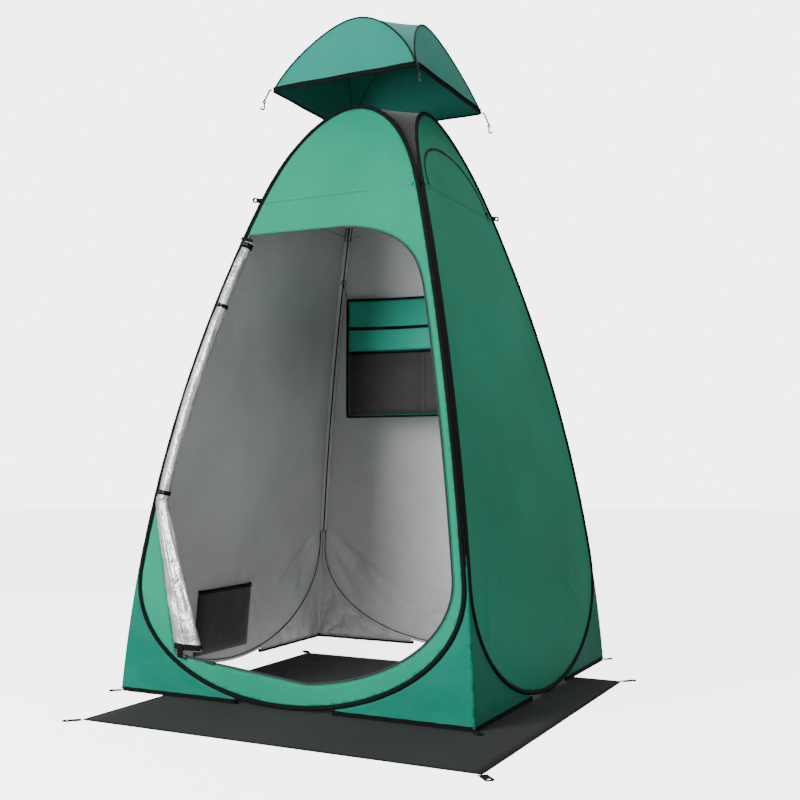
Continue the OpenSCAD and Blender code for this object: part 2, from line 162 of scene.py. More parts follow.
def door_zip_side():
    """The zipped side of the door: its straight foot, then up the right and over to the head, as [x, z]."""
    side = egg_half(DOOR_FOOT, 0.40, 1.15, DOOR_TOP, 2, 4.3, DOOR_INSET, 24)
    side = side[(side[:, 0] > 0.06) | (side[:, 1] > 1.0)]
    foot = np.linspace(SEWN_FOOT, side[0], 14)[:-1]
    head = [[DOOR_HEM_SIDE - float(half(DOOR_TOP)), DOOR_TOP + 0.004]]
    return foot, side, head


def door_outline():
    foot, side, head = door_zip_side()
    z = np.linspace(1.43, ROLL_FOOT, 20)
    sewn = np.stack([DOOR_HEM_SIDE - half(z), z], 1)
    return np.concatenate([side, head, sewn, np.linspace(sewn[-1], SEWN_FOOT, 14)[1:-1], foot])


def window_outline(n=28):
    v = np.sin(np.linspace(0, math.pi / 2, n + 1))
    x = WINDOW_HALF * np.clip(1 - v**2.2, 0, 1) ** 0.5
    z = SEAM_Z + (WINDOW_TOP - SEAM_Z) * v
    right = np.stack([x, z], 1)
    return np.concatenate([right, (right[:-1] * (-1, 1))[::-1]])


# ---------------------------------------------------------------- flat cloth and its creases


def inside(points, outline):
    a, b = outline, np.roll(outline, -1, 0)
    x, y = points[:, None, 0], points[:, None, 1]
    crosses = (a[None, :, 1] > y) != (b[None, :, 1] > y)
    dy = np.where(b[:, 1] == a[:, 1], 1e-12, b[:, 1] - a[:, 1])
    at = a[None, :, 0] + (y - a[None, :, 1]) * ((b[:, 0] - a[:, 0]) / dy)[None]
    return (crosses & (x < at)).sum(1) % 2 == 1


def edge_distance(points, outline):
    a, b = outline, np.roll(outline, -1, 0)
    ab = b - a
    length2 = np.maximum((ab**2).sum(1), 1e-12)
    best = np.full(len(points), 1e9)
    for start in range(0, len(points), 4000):
        p = points[start : start + 4000, None]
        t = np.clip(((p - a) * ab).sum(2) / length2, 0, 1)
        d = np.linalg.norm(p - (a + t[..., None] * ab), axis=2)
        best[start : start + 4000] = d.min(1)
    return best


def resampled(outline, step):
    """A closed outline with corners kept and no edge longer than step."""
    found = []
    for a, b in zip(outline, np.roll(outline, -1, 0)):
        n = max(1, math.ceil(np.linalg.norm(b - a) / step))
        found += [a + (b - a) * i / n for i in range(n)]
    return np.array(found)


def cut_cloth(outline, holes=(), step=0.012):
    """A flat piece of cloth: its points, triangles, and each point's distance from an edge."""
    loops = [resampled(o, step) for o in (outline, *holes)]
    low, high = outline.min(0), outline.max(0)
    zs = np.arange(low[1], high[1], step * math.sqrt(3) / 2)
    grid = np.array([
        (x, z) for i, z in enumerate(zs) for x in np.arange(low[0] + (i % 2) * step / 2, high[0], step)
    ])
    keep = inside(grid, outline)
    for hole in holes:
        keep &= ~inside(grid, hole)
    grid = grid[keep]
    near = np.min([edge_distance(grid, loop) for loop in loops], 0)
    grid = grid[near > 0.55 * step]
    points, edges = [], []
    for loop in loops:
        base = len(points)
        points += [Vector(p) for p in loop]
        edges += [(base + i, base + (i + 1) % len(loop)) for i in range(len(loop))]
    points += [Vector(p) for p in grid]
    made, _, faces, *_ = delaunay_2d_cdt(points, edges, [], 0, 1e-6)
    flat = np.array([tuple(p) for p in made])
    tris = np.array(faces)
    middle = flat[tris].mean(1)
    good = inside(middle, outline)
    for hole in holes:
        good &= ~inside(middle, hole)
    tris = tris[good]
    used = np.unique(tris)
    renumber = np.full(len(flat), -1)
    renumber[used] = np.arange(len(used))
    flat = flat[used]
    edge = np.min([edge_distance(flat, loop) for loop in loops], 0)
    return flat, renumber[tris], edge


def smooth(t):
    t = np.clip(t, 0, 1)
    return t * t * (3 - 2 * t)


def noise_at(points, scale, seed=0.0):
    """Smooth noise from -1 to 1 at each point, features about scale metres wide."""
    shift = Vector((seed * 7.31, seed * 3.77, seed * 5.13))
    return np.array([noise.noise(Vector(p) / scale + shift) for p in points])


def ridges(flat, anchor, heading, spread, reach, count, height, width, seed):
    """Tension creases that fan out of an anchor point, as heights."""
    rng = random.Random(seed)
    total = np.zeros(len(flat))
    rel = flat - np.asarray(anchor)
    for _ in range(count):
        a = math.radians(heading + rng.uniform(-spread, spread))
        d = np.array([math.cos(a), math.sin(a)])
        along = rel @ d
        across = rel @ np.array([-d[1], d[0]]) + rng.uniform(-0.03, 0.03)
        bend = rng.uniform(-0.25, 0.25) * along**2
        far = reach * rng.uniform(0.55, 1.0)
        near = far * rng.uniform(0.05, 0.3)
        w = width * rng.uniform(0.7, 1.4) * (0.6 + along / far)
        fade = smooth(along / near) * smooth((far - along) / (0.5 * far))
        ridge = np.exp(-(((across - bend) / np.maximum(w, 1e-3)) ** 2))
        total += height * rng.uniform(0.4, 1.0) * ridge * fade
    return total


# ---------------------------------------------------------------- mesh helpers


def link(name, points, faces, materials, body, slot):
    """A named mesh that rides a body; the slot argument is not used. With no body it is left free."""
    mesh = bpy.data.meshes.new(name)
    mesh.from_pydata([tuple(map(float, p)) for p in points], [], [tuple(map(int, f)) for f in faces])
    for m in materials:
        mesh.materials.append(m)
    mesh.update()
    mesh.shade_smooth()
    piece = bpy.data.objects.new(name, mesh)
    bpy.context.scene.collection.objects.link(piece)
    if body:
        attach(piece, body)
    return piece


def cleaned(piece, weld=None, normals=True):
    """Welds points that lie together, and turns the faces all one way."""
    bm = bmesh.new()
    bm.from_mesh(piece.data)
    if weld:
        bmesh.ops.remove_doubles(bm, verts=bm.verts, dist=weld)
    if normals:
        bmesh.ops.recalc_face_normals(bm, faces=bm.faces)
    bm.to_mesh(piece.data)
    bm.free()


def quads(rows, columns, base=0):
    """Faces of a grid of points listed row by row."""
    return [
        (q, q + 1, q + columns + 1, q + columns)
        for i in range(rows - 1)
        for q in range(base + i * columns, base + (i + 1) * columns - 1)
    ]


def rim_edges(tris):
    """Edges that belong to one triangle only."""
    directed = {(t[i], t[(i + 1) % 3]) for t in tris for i in range(3)}
    return [(a, b) for a, b in directed if (b, a) not in directed]


def thicken(piece, thickness=CLOTH, lining=None, offset=0.0):
    """Gives a sheet its thickness; the back takes the material in slot lining."""
    mod = piece.modifiers.new("thickness", "SOLIDIFY")
    mod.thickness = thickness
    mod.offset = offset
    mod.use_even_offset = False
    if lining is not None:
        mod.material_offset = lining
        mod.material_offset_rim = 0
    return piece


def swept(line, ring, closed, up=None, scale=None):
    """Points and quads of a section [a, b] swept along a line, a sideways and b along up."""
    line = np.asarray(line, float)
    n, m = len(line), len(ring)
    nxt = np.roll(line, -1, 0) if closed else np.concatenate([line[1:], line[-1:]])
    prv = np.roll(line, 1, 0) if closed else np.concatenate([line[:1], line[:-1]])
    t = nxt - prv
    t /= np.linalg.norm(t, axis=1)[:, None]
    up = np.broadcast_to(np.array((0, 0, 1.0)) if up is None else up, line.shape)
    side = np.cross(t, up)
    side /= np.linalg.norm(side, axis=1)[:, None]
    up = np.cross(side, t)
    scale = np.ones(n) if scale is None else np.asarray(scale)
    ring = np.asarray(ring, float)
    section = scale[:, None, None] * ring[None]
    pts = line[:, None] + section[..., :1] * side[:, None] + section[..., 1:] * up[:, None]
    faces = []
    for i in range(n if closed else n - 1):
        j = (i + 1) % n
        faces += [(i * m + k, i * m + (k + 1) % m, j * m + (k + 1) % m, j * m + k) for k in range(m)]
    if not closed:
        faces += [tuple(range(m - 1, -1, -1)), tuple((n - 1) * m + k for k in range(m))]
    return pts.reshape(-1, 3), faces


def circle(r, n=12, ry=None):
    a = np.linspace(0, 2 * math.pi, n, endpoint=False)
    return np.stack([r * np.cos(a), (ry or r) * np.sin(a)], 1)


def standing_ring(r, n, across):
    """Points of a circle in the upright plane that holds the level direction across."""
    a = np.linspace(0, 2 * math.pi, n, endpoint=False)
    return r * (np.cos(a)[:, None] * across + np.sin(a)[:, None] * np.array([0, 0, 1.0]))


def band(width, thick, n=3):
    """Section of a flat tape with rounded edges."""
    a = np.linspace(-math.pi / 2, math.pi / 2, n + 2)
    r = thick / 2
    right = np.stack([width / 2 - r + r * np.cos(a), r * np.sin(a)], 1)
    left = np.stack([-(width / 2 - r) - r * np.cos(a), r * np.sin(a[::-1])], 1)
    return np.concatenate([right, left])


def joined(parts):
    """Several (points, faces) as one."""
    points, faces, base = [], [], 0
    for p, f in parts:
        points.append(np.asarray(p, float).reshape(-1, 3))
        faces += [tuple(i + base for i in face) for face in f]
        base += len(points[-1])
    return np.concatenate(points), faces


def along(line, step):
    """Points every step metres along a line, and the unit direction at each."""
    line = np.asarray(line, float)
    seg = np.linalg.norm(np.diff(line, axis=0), axis=1)
    s = np.concatenate([[0], np.cumsum(seg)])
    at = np.linspace(0, s[-1], max(2, int(s[-1] / step) + 1))

    def point(distance):
        return np.stack([np.interp(distance, s, column) for column in line.T], 1)

    d = point(np.minimum(at + step * 0.3, s[-1])) - point(np.maximum(at - step * 0.3, 0))
    return point(at), d / np.maximum(np.linalg.norm(d, axis=1), 1e-9)[:, None]


def stitches(line, ups, step=0.0075, length=0.0048, r=0.00055):
    """A row of separate stitches along a line, each a small six-sided bead, narrow at its ends."""
    pts, dirs = along(line, step)
    ups = np.broadcast_to(np.asarray(ups, float), pts.shape)
    angles = np.linspace(0, 2 * math.pi, 6, endpoint=False)
    faces = [
        (i * 6 + k, i * 6 + (k + 1) % 6, i * 6 + 6 + (k + 1) % 6, i * 6 + 6 + k)
        for i in range(3)
        for k in range(6)
    ]
    faces += [tuple(range(5, -1, -1)), tuple(range(18, 24))]
    parts = []
    for p, d, up in zip(pts, dirs, ups):
        side = np.cross(d, up)
        parts.append(([
            p + d * (length * at) + r * size * (math.cos(a) * side + math.sin(a) * up)
            for at, size in ((-0.5, 0.35), (-0.3, 1.0), (0.3, 1.0), (0.5, 0.35))
            for a in angles
        ], faces))
    return joined(parts)


# ---------------------------------------------------------------- materials


def new_material(name):
    mat = bpy.data.materials.new(name)
    mat.use_nodes = True
    nodes, links = mat.node_tree.nodes, mat.node_tree.links
    shader = next(n for n in nodes if n.type == "BSDF_PRINCIPLED")
    return mat, nodes, links, shader


def noise_node(nodes, links, coords, scale, detail=3.0, rough=0.5):
    tex = nodes.new("ShaderNodeTexNoise")
    tex.inputs["Scale"].default_value = scale
    tex.inputs["Detail"].default_value = detail
    tex.inputs["Roughness"].default_value = rough
    links.new(coords, tex.inputs["Vector"])
    return tex.outputs["Fac"]


def maths(nodes, links, operation, a, b=None, clamp=False):
    node = nodes.new("ShaderNodeMath")
    node.operation = operation
    node.use_clamp = clamp
    for socket, value in zip(node.inputs, (a, b)):
        if isinstance(value, (int, float)):
            socket.default_value = value
        elif value is not None:
            links.new(value, socket)
    return node.outputs[0]


def ramp(nodes, links, fac, stops):
    node = nodes.new("ShaderNodeValToRGB")
    while len(node.color_ramp.elements) < len(stops):
        node.color_ramp.elements.new(0.5)
    for e, (at, colour) in zip(node.color_ramp.elements, stops):
        e.position = at
        e.color = (*colour, 1)
    links.new(fac, node.inputs["Fac"])
    return node.outputs["Color"]


def weave_height(nodes, links, coords, threads):
    """Height of a plain weave with that many threads a metre, on walls facing X or Y alike."""
    split = nodes.new("ShaderNodeSeparateXYZ")
    links.new(coords, split.inputs[0])
    flat = maths(nodes, links, "ADD", split.outputs[0], split.outputs[1])
    turns = 2 * math.pi * threads
    warp = maths(nodes, links, "SINE", maths(nodes, links, "MULTIPLY", flat, turns))
    weft = maths(nodes, links, "SINE", maths(nodes, links, "MULTIPLY", split.outputs[2], turns))
    return maths(nodes, links, "MULTIPLY", warp, weft)


def bump(nodes, links, height, strength, distance, under=None):
    node = nodes.new("ShaderNodeBump")
    node.inputs["Strength"].default_value = strength
    node.inputs["Distance"].default_value = distance
    links.new(height, node.inputs["Height"])
    if under is not None:
        links.new(under, node.inputs["Normal"])
    return node.outputs[0]


def creases_near_floor(nodes, links, coords):
    """Sharp creases that fade out half a metre above the floor."""
    slow = noise_node(nodes, links, coords, 6.0, 2.0, 0.5)
    sharp = maths(nodes, links, "ABSOLUTE", maths(nodes, links, "SUBTRACT", slow, 0.5))
    split = nodes.new("ShaderNodeSeparateXYZ")
    links.new(coords, split.inputs[0])
    height = maths(nodes, links, "MULTIPLY", split.outputs[2], 2.0)
    low = maths(nodes, links, "SUBTRACT", 1.0, height, clamp=True)
    return maths(nodes, links, "MULTIPLY", maths(nodes, links, "MULTIPLY", sharp, 4.0), low)


def cloth_material(name, low, high, rough=0.55, sheen=0.04, metal=0.0, threads=420, weave=0.25,
                   crumple=0.15, crumple_size=34.0, patch=2.2, spec=0.12, depth=0.004, low_creases=0.0):
    """Woven cloth whose colour wanders between low and high, with a fine weave and a soft crumple."""
    mat, nodes, links, shader = new_material(name)
    coords = nodes.new("ShaderNodeTexCoord").outputs["Object"]
    wide = noise_node(nodes, links, coords, patch, 3.0, 0.55)
    fine = noise_node(nodes, links, coords, 260.0, 2.0, 0.6)
    tone = maths(nodes, links, "ADD", maths(nodes, links, "MULTIPLY", wide, 0.85),
                 maths(nodes, links, "MULTIPLY", fine, 0.15))
    colour = ramp(nodes, links, tone, [(0.36, low), (0.64, high)])
    links.new(colour, shader.inputs["Base Color"])
    gloss = noise_node(nodes, links, coords, 9.0, 2.0, 0.5)
    spread = maths(nodes, links, "MULTIPLY", gloss, 0.18)
    links.new(maths(nodes, links, "ADD", spread, rough - 0.09, clamp=True), shader.inputs["Roughness"])
    shader.inputs["Metallic"].default_value = metal
    shader.inputs["Specular IOR Level"].default_value = spec
    shader.inputs["Sheen Weight"].default_value = sheen
    shader.inputs["Sheen Roughness"].default_value = 0.45
    soft = noise_node(nodes, links, coords, crumple_size, 3.0, 0.6)
    first = bump(nodes, links, soft, crumple, depth)
    if low_creases:
        first = bump(nodes, links, creases_near_floor(nodes, links, coords), low_creases, 0.012, first)
    cells = weave_height(nodes, links, coords, threads)
    links.new(bump(nodes, links, cells, weave, 0.0004, first), shader.inputs["Normal"])
    return mat


def net_material(name, colour, per_metre, open_share, crumple=0.2):
    """Knitted net: threads in two directions with holes between them."""
    mat, nodes, links, shader = new_material(name)
    coords = nodes.new("ShaderNodeTexCoord").outputs["Object"]
    cells = weave_height(nodes, links, coords, per_metre)
    size = maths(nodes, links, "ABSOLUTE", cells)
    hole = maths(nodes, links, "GREATER_THAN", size, 1.0 - open_share)
    clear = nodes.new("ShaderNodeBsdfTransparent")
    mix = nodes.new("ShaderNodeMixShader")
    links.new(hole, mix.inputs[0])
    links.new(shader.outputs[0], mix.inputs[1])
    links.new(clear.outputs[0], mix.inputs[2])
    out = next(n for n in nodes if n.type == "OUTPUT_MATERIAL")
    links.new(mix.outputs[0], out.inputs["Surface"])
    wide = noise_node(nodes, links, coords, 7.0, 3.0, 0.6)
    tone = ramp(nodes, links, wide, [(0.35, [c * 0.7 for c in colour]), (0.65, [c * 1.5 for c in colour])])
    links.new(tone, shader.inputs["Base Color"])
    shader.inputs["Roughness"].default_value = 0.5
    shader.inputs["Sheen Weight"].default_value = 0.3
    shader.inputs["Specular IOR Level"].default_value = 0.4
    soft = noise_node(nodes, links, coords, 30.0, 3.0, 0.6)
    first = bump(nodes, links, soft, crumple, 0.004)
    links.new(bump(nodes, links, cells, 0.4, 0.0006, first), shader.inputs["Normal"])
    return mat


def smooth_material(name, colour, rough, metal=0.0):
    """Metal or moulded plastic with a fine grain and small changes of gloss."""
    mat, nodes, links, shader = new_material(name)
    coords = nodes.new("ShaderNodeTexCoord").outputs["Object"]
    wide = noise_node(nodes, links, coords, 40.0, 3.0, 0.6)
    dark, light = [c * 0.82 for c in colour], [min(1, c * 1.15) for c in colour]
    tone = ramp(nodes, links, wide, [(0.3, dark), (0.7, light)])
    links.new(tone, shader.inputs["Base Color"])
    spread = maths(nodes, links, "MULTIPLY", wide, 0.2)
    links.new(maths(nodes, links, "ADD", spread, rough - 0.1, clamp=True), shader.inputs["Roughness"])
    shader.inputs["Metallic"].default_value = metal
    fine = noise_node(nodes, links, coords, 300.0, 2.0, 0.6)
    links.new(bump(nodes, links, fine, 0.05, 0.001), shader.inputs["Normal"])
    return mat


COATED = {"sheen": 0.0, "weave": 0.1, "spec": 0.5}

ORGANISER_GREEN = cloth_material("organiser_taffeta", (0.020, 0.340, 0.230), (0.032, 0.410, 0.285))
GREEN = cloth_material("green_taffeta", (0.002, 0.225, 0.130), (0.004, 0.285, 0.168))
SILVER = cloth_material(
    "silver_coating", (0.50, 0.51, 0.515), (0.62, 0.63, 0.635), rough=0.45, metal=0.15,
    crumple=0.2, crumple_size=40.0, low_creases=0.7, **COATED,
)
SILVER_CREASED = cloth_material(
    "creased_silver_coating", (0.48, 0.49, 0.495), (0.68, 0.69, 0.695), rough=0.36, metal=0.3,
    crumple=1.0, crumple_size=22.0, depth=0.009, low_creases=1.0, **COATED,
)
FOIL = cloth_material(
    "silver_door_coating", (0.42, 0.44, 0.42), (0.66, 0.68, 0.66), rough=0.34, metal=0.5,
    crumple=0.9, crumple_size=24.0, patch=14.0, depth=0.011, **COATED,
)
# Darker copy of the wall green for the gussets: painted shade of the slack corner cloth near the floor.
SHADED_CORNER_GREEN = cloth_material("corner_taffeta_painted_shade", (0.002, 0.135, 0.088), (0.004, 0.185, 0.122))
FLY_GREEN = cloth_material("fly_taffeta", (0.008, 0.200, 0.150), (0.014, 0.245, 0.185))
BINDING = cloth_material(
    "black_binding", (0.0020, 0.0030, 0.0030), (0.0050, 0.0065, 0.0065), rough=0.65, sheen=0.02,
    threads=700, weave=0.6, crumple=0.25, crumple_size=120.0,
)
WEBBING = cloth_material(
    "black_webbing", (0.0025, 0.003, 0.003), (0.007, 0.008, 0.008), rough=0.7, sheen=0.03,
    threads=500, weave=0.9, crumple=0.2, crumple_size=90.0,
)
ZIP_TAPE = cloth_material(
    "zip_tape", (0.012, 0.035, 0.03), (0.02, 0.05, 0.042), rough=0.6, sheen=0.2,
    threads=800, weave=0.6, spec=0.3,
)
MAT_CLOTH = cloth_material(
    "mat_cloth", (0.014, 0.014, 0.015), (0.024, 0.024, 0.025), rough=0.7, sheen=0.03,
    threads=300, weave=0.5, crumple=0.12, crumple_size=14.0, patch=1.1, spec=0.2,
)
THREAD = cloth_material("pale_thread", (0.20, 0.42, 0.34), (0.30, 0.52, 0.44), rough=0.6, threads=900)
DARK_THREAD = cloth_material("dark_thread", (0.006, 0.05, 0.035), (0.01, 0.07, 0.05), rough=0.6, threads=900)
NET = net_material("black_net", (0.010, 0.009, 0.009), 330.0, 0.10)
NET_DENSE = net_material("pocket_net", (0.016, 0.016, 0.015), 330.0, 0.22, 0.6)
STEEL = smooth_material("spring_steel", (0.42, 0.43, 0.45), 0.3, metal=1.0)
FERRULE = smooth_material("crimped_aluminium", (0.6, 0.6, 0.62), 0.35, metal=1.0)
BLACK_METAL = smooth_material("black_painted_zinc", (0.012, 0.012, 0.013), 0.35, metal=0.3)
BLACK_PLASTIC = smooth_material("black_nylon", (0.010, 0.010, 0.010), 0.42)
ELASTIC = cloth_material("black_elastic", (0.005,) * 3, (0.014,) * 3, threads=900, weave=0.8)


# ---------------------------------------------------------------- pieces of cloth and trim

SEAM_ALLOWANCE = 0.006


def declare_cut(flat, tris, copies=1):
    """Works out the size and area that a sheet was cut at, with a seam allowance all round, and keeps
    neither.
    """
    size = flat.max(0) - flat.min(0) + 2 * SEAM_ALLOWANCE
    a, b, c = flat[tris[:, 0]], flat[tris[:, 1]], flat[tris[:, 2]]
    twice = (b[:, 0] - a[:, 0]) * (c[:, 1] - a[:, 1]) - (b[:, 1] - a[:, 1]) * (c[:, 0] - a[:, 0])
    length = sum(np.linalg.norm(flat[a] - flat[b]) for a, b in rim_edges(tris))
    area = copies * (float(np.abs(twice).sum() / 2) + SEAM_ALLOWANCE * length)
    size = (copies * size[0], size[1])
    if area < 0.3 * size[0] * size[1]:
        # pieced from strips as wide as the wall
        size, area = (size[0], area / size[0]), None


def tube_piece(name, parts, material, body, slot, *nodes, lined=None):
    """Closed solid trim made of several swept parts. lined tells which faces, by number, are silver."""
    points, faces = joined(parts)
    piece = link(name, points, faces, [material], body, slot)
    if lined is not None:
        piece.data.materials.append(SILVER)
        piece.data.polygons.foreach_set("material_index", [int(lined(i)) for i in range(len(faces))])
    cleaned(piece)
    if nodes:
        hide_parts(*nodes)
    return piece


def slab(flat, tris, place, thick):
    """A closed flat solid: place maps [x, y, out] points into the tent."""
    n = len(flat)
    top = place(np.column_stack([flat, np.full(n, thick / 2)]))
    low = place(np.column_stack([flat, np.full(n, -thick / 2)]))
    faces = [tuple(t) for t in tris] + [(c + n, b + n, a + n) for a, b, c in tris]
    faces += [(b, a, a + n, b + n) for a, b in rim_edges(tris)]
    return np.concatenate([top, low]), faces


def eye_tabs(name, spots, length, width, thick, eye_r, node, body="tent"):
    """Webbing tabs with a bound round eye. A spot is (root, direction, direction across)."""
    middle = length - width / 2
    a = np.linspace(-math.pi / 2, math.pi / 2, 12)
    nose = np.stack([middle + width / 2 * np.cos(a), width / 2 * np.sin(a)], 1)
    outline = np.concatenate([[[0, -width / 2]], nose, [[0, width / 2]]])
    flat, tris, _ = cut_cloth(outline, [circle(eye_r, 20) + (middle, 0)], 0.0035)
    parts = []
    for root, ahead, across in spots:
        ahead, across = unit(ahead), unit(across)
        up = np.cross(ahead, across)

        def place(p):
            return root + p[:, :1] * ahead + p[:, 1:2] * across + p[:, 2:] * up

        parts.append(slab(flat, tris, place, thick))
        edge = place(np.column_stack([nose, np.zeros(len(nose))]))
        eye = place(np.column_stack([circle(eye_r + 0.0008, 24) + (middle, 0), np.zeros(24)]))
        parts.append(swept(edge, circle(thick * 1.1, 8), False, up=up))
        parts.append(swept(eye, circle(thick * 1.0, 8), True, up=up))
        for across_at in (-0.3, 0.3):
            ends = (0.002, middle - eye_r - 0.002)
            row = place(np.array([[x, width * across_at, thick / 2] for x in ends]))
            parts.append(stitches(row, up, 0.005, 0.0034, 0.0004))
    return tube_piece(name, parts, WEBBING, body, "webbing", node)


def zip_parts(line, ups, width, out):
    """Tape and coil of a zip along a line on the cloth."""
    line = line + out * ups
    tape = swept(line, band(width, 0.0012), False, up=ups)
    pts, _ = along(line, 0.0011)
    index = np.linspace(0, len(line) - 1, len(pts))
    lift = np.stack([np.interp(index, np.arange(len(line)), ups[:, i]) for i in range(3)], 1)
    ripple = 1 + 0.22 * np.sin(np.arange(len(pts)) * math.pi / 2)
    coil = swept(pts + 0.0009 * lift, circle(0.0011, 6, 0.0008), False, up=lift, scale=ripple)
    return tape, coil


# ---------------------------------------------------------------- tent walls

BACK_CORNER = (0.575, 0.45)                    # where the two back hoops part, above the gusset


def wall_lift(flat, edge, seed, creases):
    """How far a taut wall stands off its plane: wide waves, tall narrow ones, and tension creases."""
    layer = np.column_stack([flat, np.full(len(flat), 3.1 * seed)])
    total = 0.0038 * noise_at(layer, 0.40, seed) + 0.0011 * noise_at(layer * (1, 0.28, 1), 0.085, seed + 9)
    for crease in creases:
        total = total + ridges(flat, *crease)
    return smooth((edge - 0.012) / 0.08) * total


def crumple_lift(flat, edge, seed):
    """How far the slack cloth of a gusset stands off its plane."""
    layer = np.column_stack([flat, np.full(len(flat), 2.3 * seed)])
    big = noise_at(layer, 0.085, seed)
    fine = np.abs(noise_at(layer, 0.035, seed + 5))
    return smooth(edge / 0.035) * (0.0036 * big - 0.0018 * fine)


HOOP = hoop_outline()
WALL_CUT = shifted(HOOP, -0.003)
# anchor, heading and spread in degrees, reach, count, height, width, seed
FRONT_CREASES = (
    ((-0.50, 1.80), -25, 22, 0.55, 9, 0.0055, 0.019, 11),
    ((0.50, 1.80), 205, 22, 0.60, 9, 0.0055, 0.019, 12),
    ((0.56, 1.45), 160, 18, 0.55, 7, 0.0045, 0.018, 13),
    ((-0.40, 0.10), 8, 10, 0.45, 4, 0.0020, 0.010, 14),
)
SIDE_CREASES = (
    ((-0.56, 1.56), -55, 25, 0.55, 5, 0.0020, 0.016, 21),
    ((0.56, 1.56), 235, 25, 0.55, 5, 0.0020, 0.016, 22),
    ((-0.50, 0.16), 60, 22, 0.45, 5, 0.0024, 0.014, 23),
    ((0.50, 0.16), 120, 22, 0.45, 5, 0.0024, 0.014, 24),
)
LEFT_CREASES = SIDE_CREASES + (((-BACK_CORNER[0], BACK_CORNER[1]), -52, 24, 0.55, 18, 0.0105, 0.014, 31),)
REAR_CREASES = SIDE_CREASES + ((BACK_CORNER, 232, 24, 0.55, 18, 0.0105, 0.014, 41),)
PANELS = (
    ([shifted(door_outline(), 0.005)], FRONT_CREASES),
    ([shifted(window_outline(), 0.003)], SIDE_CREASES),
    ([], REAR_CREASES),
    ([], LEFT_CREASES),
)


def hoop_x(z):
    """How far a hoop's centre line is from the wall's middle at height z."""
    right = HOOP[: len(HOOP) // 2 + 1]
    return float(np.interp(z, right[:, 1], right[:, 0]))


def seam_rows(side):
    """The felled cross seam of a wall and its two rows of stitches."""
    reach = hoop_x(SEAM_Z) - 0.0165
    x = np.linspace(-reach, reach, 60)
    line = on_wall(np.stack([x, np.full(60, SEAM_Z + 0.001)], 1), side, 0.0006)
    up = turn([[0, -1, 0]], side)[0]
    felled = swept(line, band(0.012, 0.0012), False, up=up)
    rows = []
    for z in (SEAM_Z - 0.0025, SEAM_Z + 0.0045):
        row = on_wall(np.stack([x, np.full(60, z)], 1), side, 0.0013)
        rows.append(stitches(row, up))
    return felled, joined(rows)


for k, (side, (holes, creases)) in enumerate(zip(SIDES, PANELS)):
    felled, thread = seam_rows(k)
    colour = DARK_THREAD if side == "front" else THREAD
    trim = tube_piece(f"{side}_cross_seam", [felled], GREEN, "tent", "wall_cloth")
    sewing = tube_piece(f"{side}_seam_stitches", [thread], colour, "tent", "black_binding")
    flat, tris, edge = cut_cloth(WALL_CUT, holes, 0.011)
    points = on_wall(flat, k, wall_lift(flat, edge, k + 1, creases))
    cloth = link(f"{side}_wall", points, tris, [GREEN, SILVER], "tent", "wall_cloth")
    thicken(cloth, CLOTH, lining=1, offset=-1.0)
    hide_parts(f"{side}_panel")
    declare_cut(flat, tris)


def gusset_outline():
    """Cloth between a hoop and the wall's corner, below the point where they come together."""
    outer = shifted(HOOP, 0.003)
    right = outer[1 : len(outer) // 2]
    right = right[(right[:, 0] > GUSSET_END) & (right[:, 1] < 0.45)]
    z = np.linspace(0.46, 0.006, 28)
    corner = np.stack([half(z), z], 1)
    return np.concatenate([right, corner, [[GUSSET_END, 0.006]]])


def corner_cloth(k):
    """Gusset of one corner: the same cloth on both walls, welded up the corner."""
    flat, tris, edge = cut_cloth(gusset_outline(), (), 0.009)
    to_corner = half(flat[:, 1]) - flat[:, 0]
    edge = np.minimum(edge, np.maximum(to_corner, 0))
    mirror = flat * (-1, 1)
    points, faces = joined([
        (on_wall(flat, k, crumple_lift(flat, edge, 50 + k)), tris),
        (on_wall(mirror, k + 1, crumple_lift(mirror, edge, 60 + k)), tris[:, ::-1]),
    ])
    # The gussets' outer face takes the darker green of painted shade.
    cloths = [SHADED_CORNER_GREEN, SILVER_CREASED]
    piece = link(f"{CORNERS[k]}_corner", points, faces, cloths, "tent", "wall_cloth")
    cleaned(piece, weld=1e-5, normals=False)
    thicken(piece, CLOTH, lining=1, offset=-1.0)
    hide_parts(f"{CORNERS[k]}_gusset")
    declare_cut(flat, tris, copies=2)


for k in range(4):
    corner_cloth(k)


def sleeve_parts(k):
    """Fabric sleeve round a hoop, with the sewn flange that joins it to the wall."""
    line = on_wall(HOOP, k)
    ups = on_wall(HOOP, k, 1.0) - line
    a = np.radians(np.linspace(-162, 168, 15))
    r = SLEEVE_R
    ring = np.concatenate([
        np.stack([r * np.cos(a), r * np.sin(a)], 1),
        [[-r - 0.0020, 0.0013], [-r - 0.0026, 0.0007], [-r - 0.0020, 0.0001]],
    ])
    n = len(line)
    pucker = 1 + 0.03 * np.sin(np.arange(n) * 1.7 + k) + 0.02 * np.sin(np.arange(n) * 0.61 + 2 * k)
    return swept(line, ring, True, up=ups, scale=pucker)


for k, side in enumerate(SIDES):
    tube_piece(
        f"{side}_sleeve", [sleeve_parts(k)], BINDING, "tent", "black_binding", f"{side}_hoop_sleeve",
        lined=lambda face: 1 <= face % 18 < 5,
    )


def corner_cord(z, inset, r, sides, k):
    """Round cord up a corner of the tent, inset from the walls."""
    b = half(z) - inset
    return swept(turn(np.stack([b, -b, z], 1), k), circle(r, sides), False, up=outward(k))


z = np.linspace(0.43, 1.565, 60)
welts = [corner_cord(z, 0.0032, 0.0036, 10, k) for k in range(4)]
tube_piece("corner_welts", welts, BINDING, "tent", "black_binding", "corner_seams")


